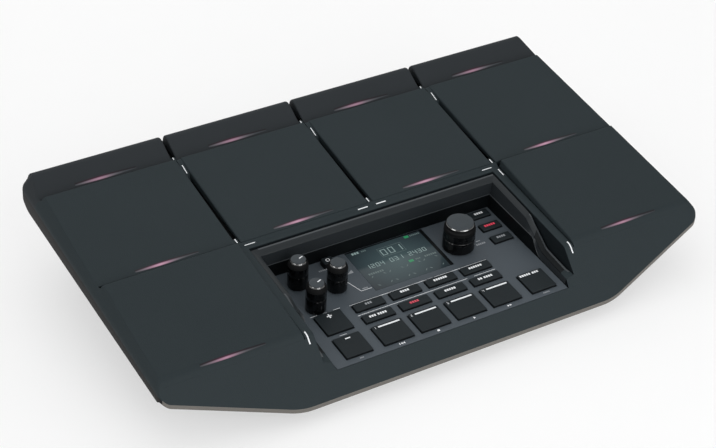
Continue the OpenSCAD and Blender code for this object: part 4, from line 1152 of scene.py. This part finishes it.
# %% [markdown]
# ## Transport signs
# Below the four large keys stand the usual signs for back, stop, play and forward. They are arrow heads and
# small rectangles, the same on any player.

# %% Transport signs
SIGN_V = -49.6


def arrow(x, way, size=1.0):
    """An arrow head pointing along x: two corners behind and one ahead."""
    tip, half = way * 0.75 * size, 0.9 * size
    return sign([[x - tip, SIGN_V - half], [x + tip, SIGN_V], [x - tip, SIGN_V + half]], *INK)


signs = [arrow(KEY_X[0] + 1.6, -1), arrow(KEY_X[0] - 0.1, -1),
         plate(KEY_X[0] - 1.8, KEY_X[0] - 1.3, SIGN_V - 0.9, SIGN_V + 0.9, *INK),
         plate(KEY_X[1] - 0.9, KEY_X[1] + 0.9, SIGN_V - 0.8, SIGN_V + 0.8, *INK),
         arrow(KEY_X[2], 1, 1.1), arrow(KEY_X[3] - 1.2, 1), arrow(KEY_X[3] + 0.6, 1)]
piece("transport_signs", signs, "case", white_ink)
print("signs:", len(signs))

# %% [markdown]
# ## Marks on the display
# The display shows plain numbers, small blocks and four dials drawn as short ticks. They glow a little
# brighter than the glass, in two steps, with two green signs among them.

# %% Marks on the display
bright = number("001", SCREEN_X - 7.4, SCREEN_V + 8.9, 3.0, *GLOW, 1.2, 1.3)
bright += number("1204 031 2430", SCREEN_X - 24.2, SCREEN_V + 0.7, 1.9, *GLOW, 1.5, 1.28)
bright += caption(SCREEN_X - 23.4, SCREEN_V + 19.3, "ooo", 1.6, *GLOW)
piece("screen_numbers", bright, "case", screen_text)
box_lines = ((-8.6, 9.8, 16.4, 16.65), (-8.6, 9.8, 7.3, 7.55), (-8.6, -8.35, 7.55, 16.4),
             (9.55, 9.8, 7.55, 16.4))
small = [on_screen(*edges, *GLOW) for edges in box_lines]
spots = ((-17.0, 19.2, "ooo", 1.1), (23.2, 19.2, "oooooo", 1.1), (-20.7, -4.3, "ooooooo", 1.4),
         (12.0, -4.2, "ooo", 1.1), (21.8, -4.2, "oooooo", 1.3))
for x, v, blocks, size in spots:
    small += caption(SCREEN_X + x, SCREEN_V + v, blocks, size, *GLOW)
for x in (-20.7, -7.1, 6.4, 19.6):
    for k in range(4):
        a = math.pi / 4 + k * math.pi / 2
        out, way = np.array([math.cos(a), math.sin(a)]), np.array([-math.sin(a), math.cos(a)])
        hub = np.array([SCREEN_X + x, SCREEN_V - 12.0]) + 6.7 * out
        small.append(sign([hub - 1.4 * way, hub + 0.35 * out, hub + 1.4 * way, hub - 0.5 * out], *GLOW))
piece("screen_small", small, "case", screen_dim)
green = [on_screen(14.9, 18.4, 18.2, 20.5, *GLOW), on_screen(4.8, 8.3, -5.4, -3.1, *GLOW)]
piece("screen_icons", green, "case", screen_green)
print("display plates:", len(bright) + len(small) + len(green))

# %% [markdown]
# ## Marks on the rubber
# White dashes lie at the ends of the slots and on the strip behind the well. They follow the height
# of what carries them, the strip or a saddle, with a hair of thickness.

# %% Marks on the rubber
def deck_mark(x0, x1, y0, y1, height, steps=2):
    """A thin mark on the rubber: its outline at the height of the surface and a hair above it."""
    y = np.linspace(y0, y1, steps)
    x = np.stack([np.full(steps, x0), np.full(steps, x1)], 1)
    z = height(y)[:, None] + 0 * x
    y = y[:, None] + 0 * x
    ring = [on_deck(x[:, k], y[:, k], z[:, k] + lift)
            for k, lift in ((0, -0.1), (1, -0.1), (1, 0.06), (0, 0.06))]
    return skin(np.stack(ring, 1))


marks = []
for side in (-1, 1):
    marks.append(deck_mark(*sorted((side * 89.0, side * 96.7)), -101.1, -100.6, strip_height))
    marks.append(deck_mark(*sorted((side * 3.3, side * 10.8)), -101.2, -100.5, strip_height))
    marks.append(deck_mark(side * 100 - 0.45, side * 100 + 0.45, -197.3, -189.4, strip_height, 14))
marks.append(deck_mark(99.6, 100.4, -111.4, -104.5, strip_height))
for x in (-100.0, 0.0, 100.0):
    marks.append(deck_mark(x - 0.3, x + 0.3, -21.2, -13.4,
                           lambda y: main_top(y) - 0.75 + (y + 13) * 0.12, 6))
    marks.append(deck_mark(x - 0.35, x + 0.35, -97.0, -92.9, lambda y: -1.5 + 0 * y))
    marks.append(deck_mark(x - 0.4, x + 0.4, -0.4, 1.5, lambda y: -1.6 + 0.22 * (y - 0.4)))
piece("deck_marks", marks, "case", white_ink)
print("marks on the rubber:", len(marks))

# %% [markdown]
# ## Pointers
# Two of the knobs stop at both ends, so a white line on the lid shows where they stand. The line is a small
# rectangle, turned by 20 degrees about the knob's middle, and it rides on the knob.

# %% Pointers
turn = math.radians(20)
c, s = math.cos(turn), math.sin(turn)
line = np.array([[0.8, -0.35], [3.9, -0.35], [3.9, 0.35], [0.8, 0.35]]) @ np.array([[c, s], [-s, c]])
for i in (0, 2):
    name = f"knob_{i + 1}"
    piece(name + "_pointer", [sign(line + KNOBS[i], 22.4, 22.56)], name, white_ink)
print("pointers: 2")

# %% [markdown]
# ## The floor
# The picture is a plain product shot on white. The floor is a large sheet of pale paper that keeps the
# object's shadow. Seen by the camera, in a mirror or through glass, it is mixed with an even white, which
# softens the shadow; for all other rays it stays paper, so the object gets no extra light.

# %% Floor
floor_mesh = bpy.data.meshes.new("floor")
floor_mesh.from_pydata([(-9, -9, 0), (9, -9, 0), (9, 9, 0), (-9, 9, 0)], [], [[0, 1, 2, 3]])
floor = bpy.data.objects.new("floor", floor_mesh)
bpy.context.scene.collection.objects.link(floor)
paper = moulded("paper", (248, 248, 248), (250, 250, 250), 60, 0.0, 0.8, 0.9, shine=0.1)
tree = paper.node_tree
ray = tree.nodes.new("ShaderNodeLightPath")
seen, mirrored, half = (tree.nodes.new("ShaderNodeMath") for _ in range(3))
seen.operation, mirrored.operation, half.operation = "MAXIMUM", "MAXIMUM", "MULTIPLY"
half.inputs[1].default_value = 0.55
white, mixed = tree.nodes.new("ShaderNodeEmission"), tree.nodes.new("ShaderNodeMixShader")
white.inputs["Color"].default_value = screen(251, 251, 251)
tree.links.new(ray.outputs["Is Camera Ray"], seen.inputs[0])
tree.links.new(ray.outputs["Is Glossy Ray"], seen.inputs[1])
tree.links.new(seen.outputs["Value"], mirrored.inputs[0])
tree.links.new(ray.outputs["Is Transmission Ray"], mirrored.inputs[1])
tree.links.new(mirrored.outputs["Value"], half.inputs[0])
tree.links.new(half.outputs["Value"], mixed.inputs["Fac"])
tree.links.new(tree.nodes["Principled BSDF"].outputs["BSDF"], mixed.inputs[1])
tree.links.new(white.outputs["Emission"], mixed.inputs[2])
tree.links.new(mixed.outputs["Shader"], tree.nodes["Material Output"].inputs["Surface"])
floor_mesh.materials.append(paper)
print("floor:", len(floor_mesh.vertices), "points")

# %% [markdown]
# ## Light
# An even white surround does most of the work, as a light tent does. A soft light stands above and behind,
# another in front, and two smaller ones show only in reflections, as bright dashes on the knobs.

# %% Light
world = bpy.data.worlds.new("studio")
bpy.context.scene.world = world
world.use_nodes = True
world.node_tree.nodes["Background"].inputs["Color"].default_value = (1, 1, 1, 1)
world.node_tree.nodes["Background"].inputs["Strength"].default_value = 0.82


def softbox(name, place, target, size, power):
    """A square area light at place that faces target."""
    lamp = bpy.data.lights.new(name, "AREA")
    lamp.shape, lamp.size, lamp.energy = "SQUARE", size, power
    made = bpy.data.objects.new(name, lamp)
    z = np.array(place, float) - np.array(target, float)
    z /= np.linalg.norm(z)
    x = np.cross([0.0, 0.0, 1.0], z)
    x /= np.linalg.norm(x)
    y = np.cross(z, x)
    made.matrix_world = Matrix([[x[i], y[i], z[i], place[i]] for i in range(3)] + [[0, 0, 0, 1]])
    bpy.context.scene.collection.objects.link(made)
    return made


softbox("top_light", (0.2, 1.3, 1.3), (0, 0, 0.05), 1.4, 5)
softbox("front_light", (-0.1, -1.7, 0.9), (0, 0, 0.05), 1.2, 12)
for name, place in (("left_strip", (-1.03, -0.21, 0.82)), ("right_strip", (0.37, -1.02, 0.82))):
    softbox(name, place, (0, -0.05, 0.04), 0.6, 7).visible_diffuse = False
print("lights:", len(bpy.data.lights))

# %% [markdown]
# ## Camera
# The camera stands to the front left and looks down at about 34 degrees. Its place, its three axes and its
# lens were fitted to the straight edges of the pads, so they are written out here as they came.

# %% Camera
eye = np.array([-0.53445, -0.9130, 0.74508])
right = np.array([0.86657, -0.49906, 0.0])
up = np.array([0.27702, 0.48055, 0.83207])
back = np.array([-0.41512, -0.72111, 0.55468])
lens = bpy.data.cameras.new("photo_camera")
lens.sensor_width, lens.lens = 36.0, 93.49
lens.clip_start, lens.clip_end = 0.01, 50
camera = bpy.data.objects.new("photo_camera", lens)
camera.matrix_world = Matrix([[right[i], up[i], back[i], eye[i]] for i in range(3)] + [[0, 0, 0, 1]])
bpy.context.scene.collection.objects.link(camera)
bpy.context.scene.camera = camera
bpy.context.scene.view_settings.view_transform = "Standard"
print("camera at", eye, "with a lens of", lens.lens, "mm")
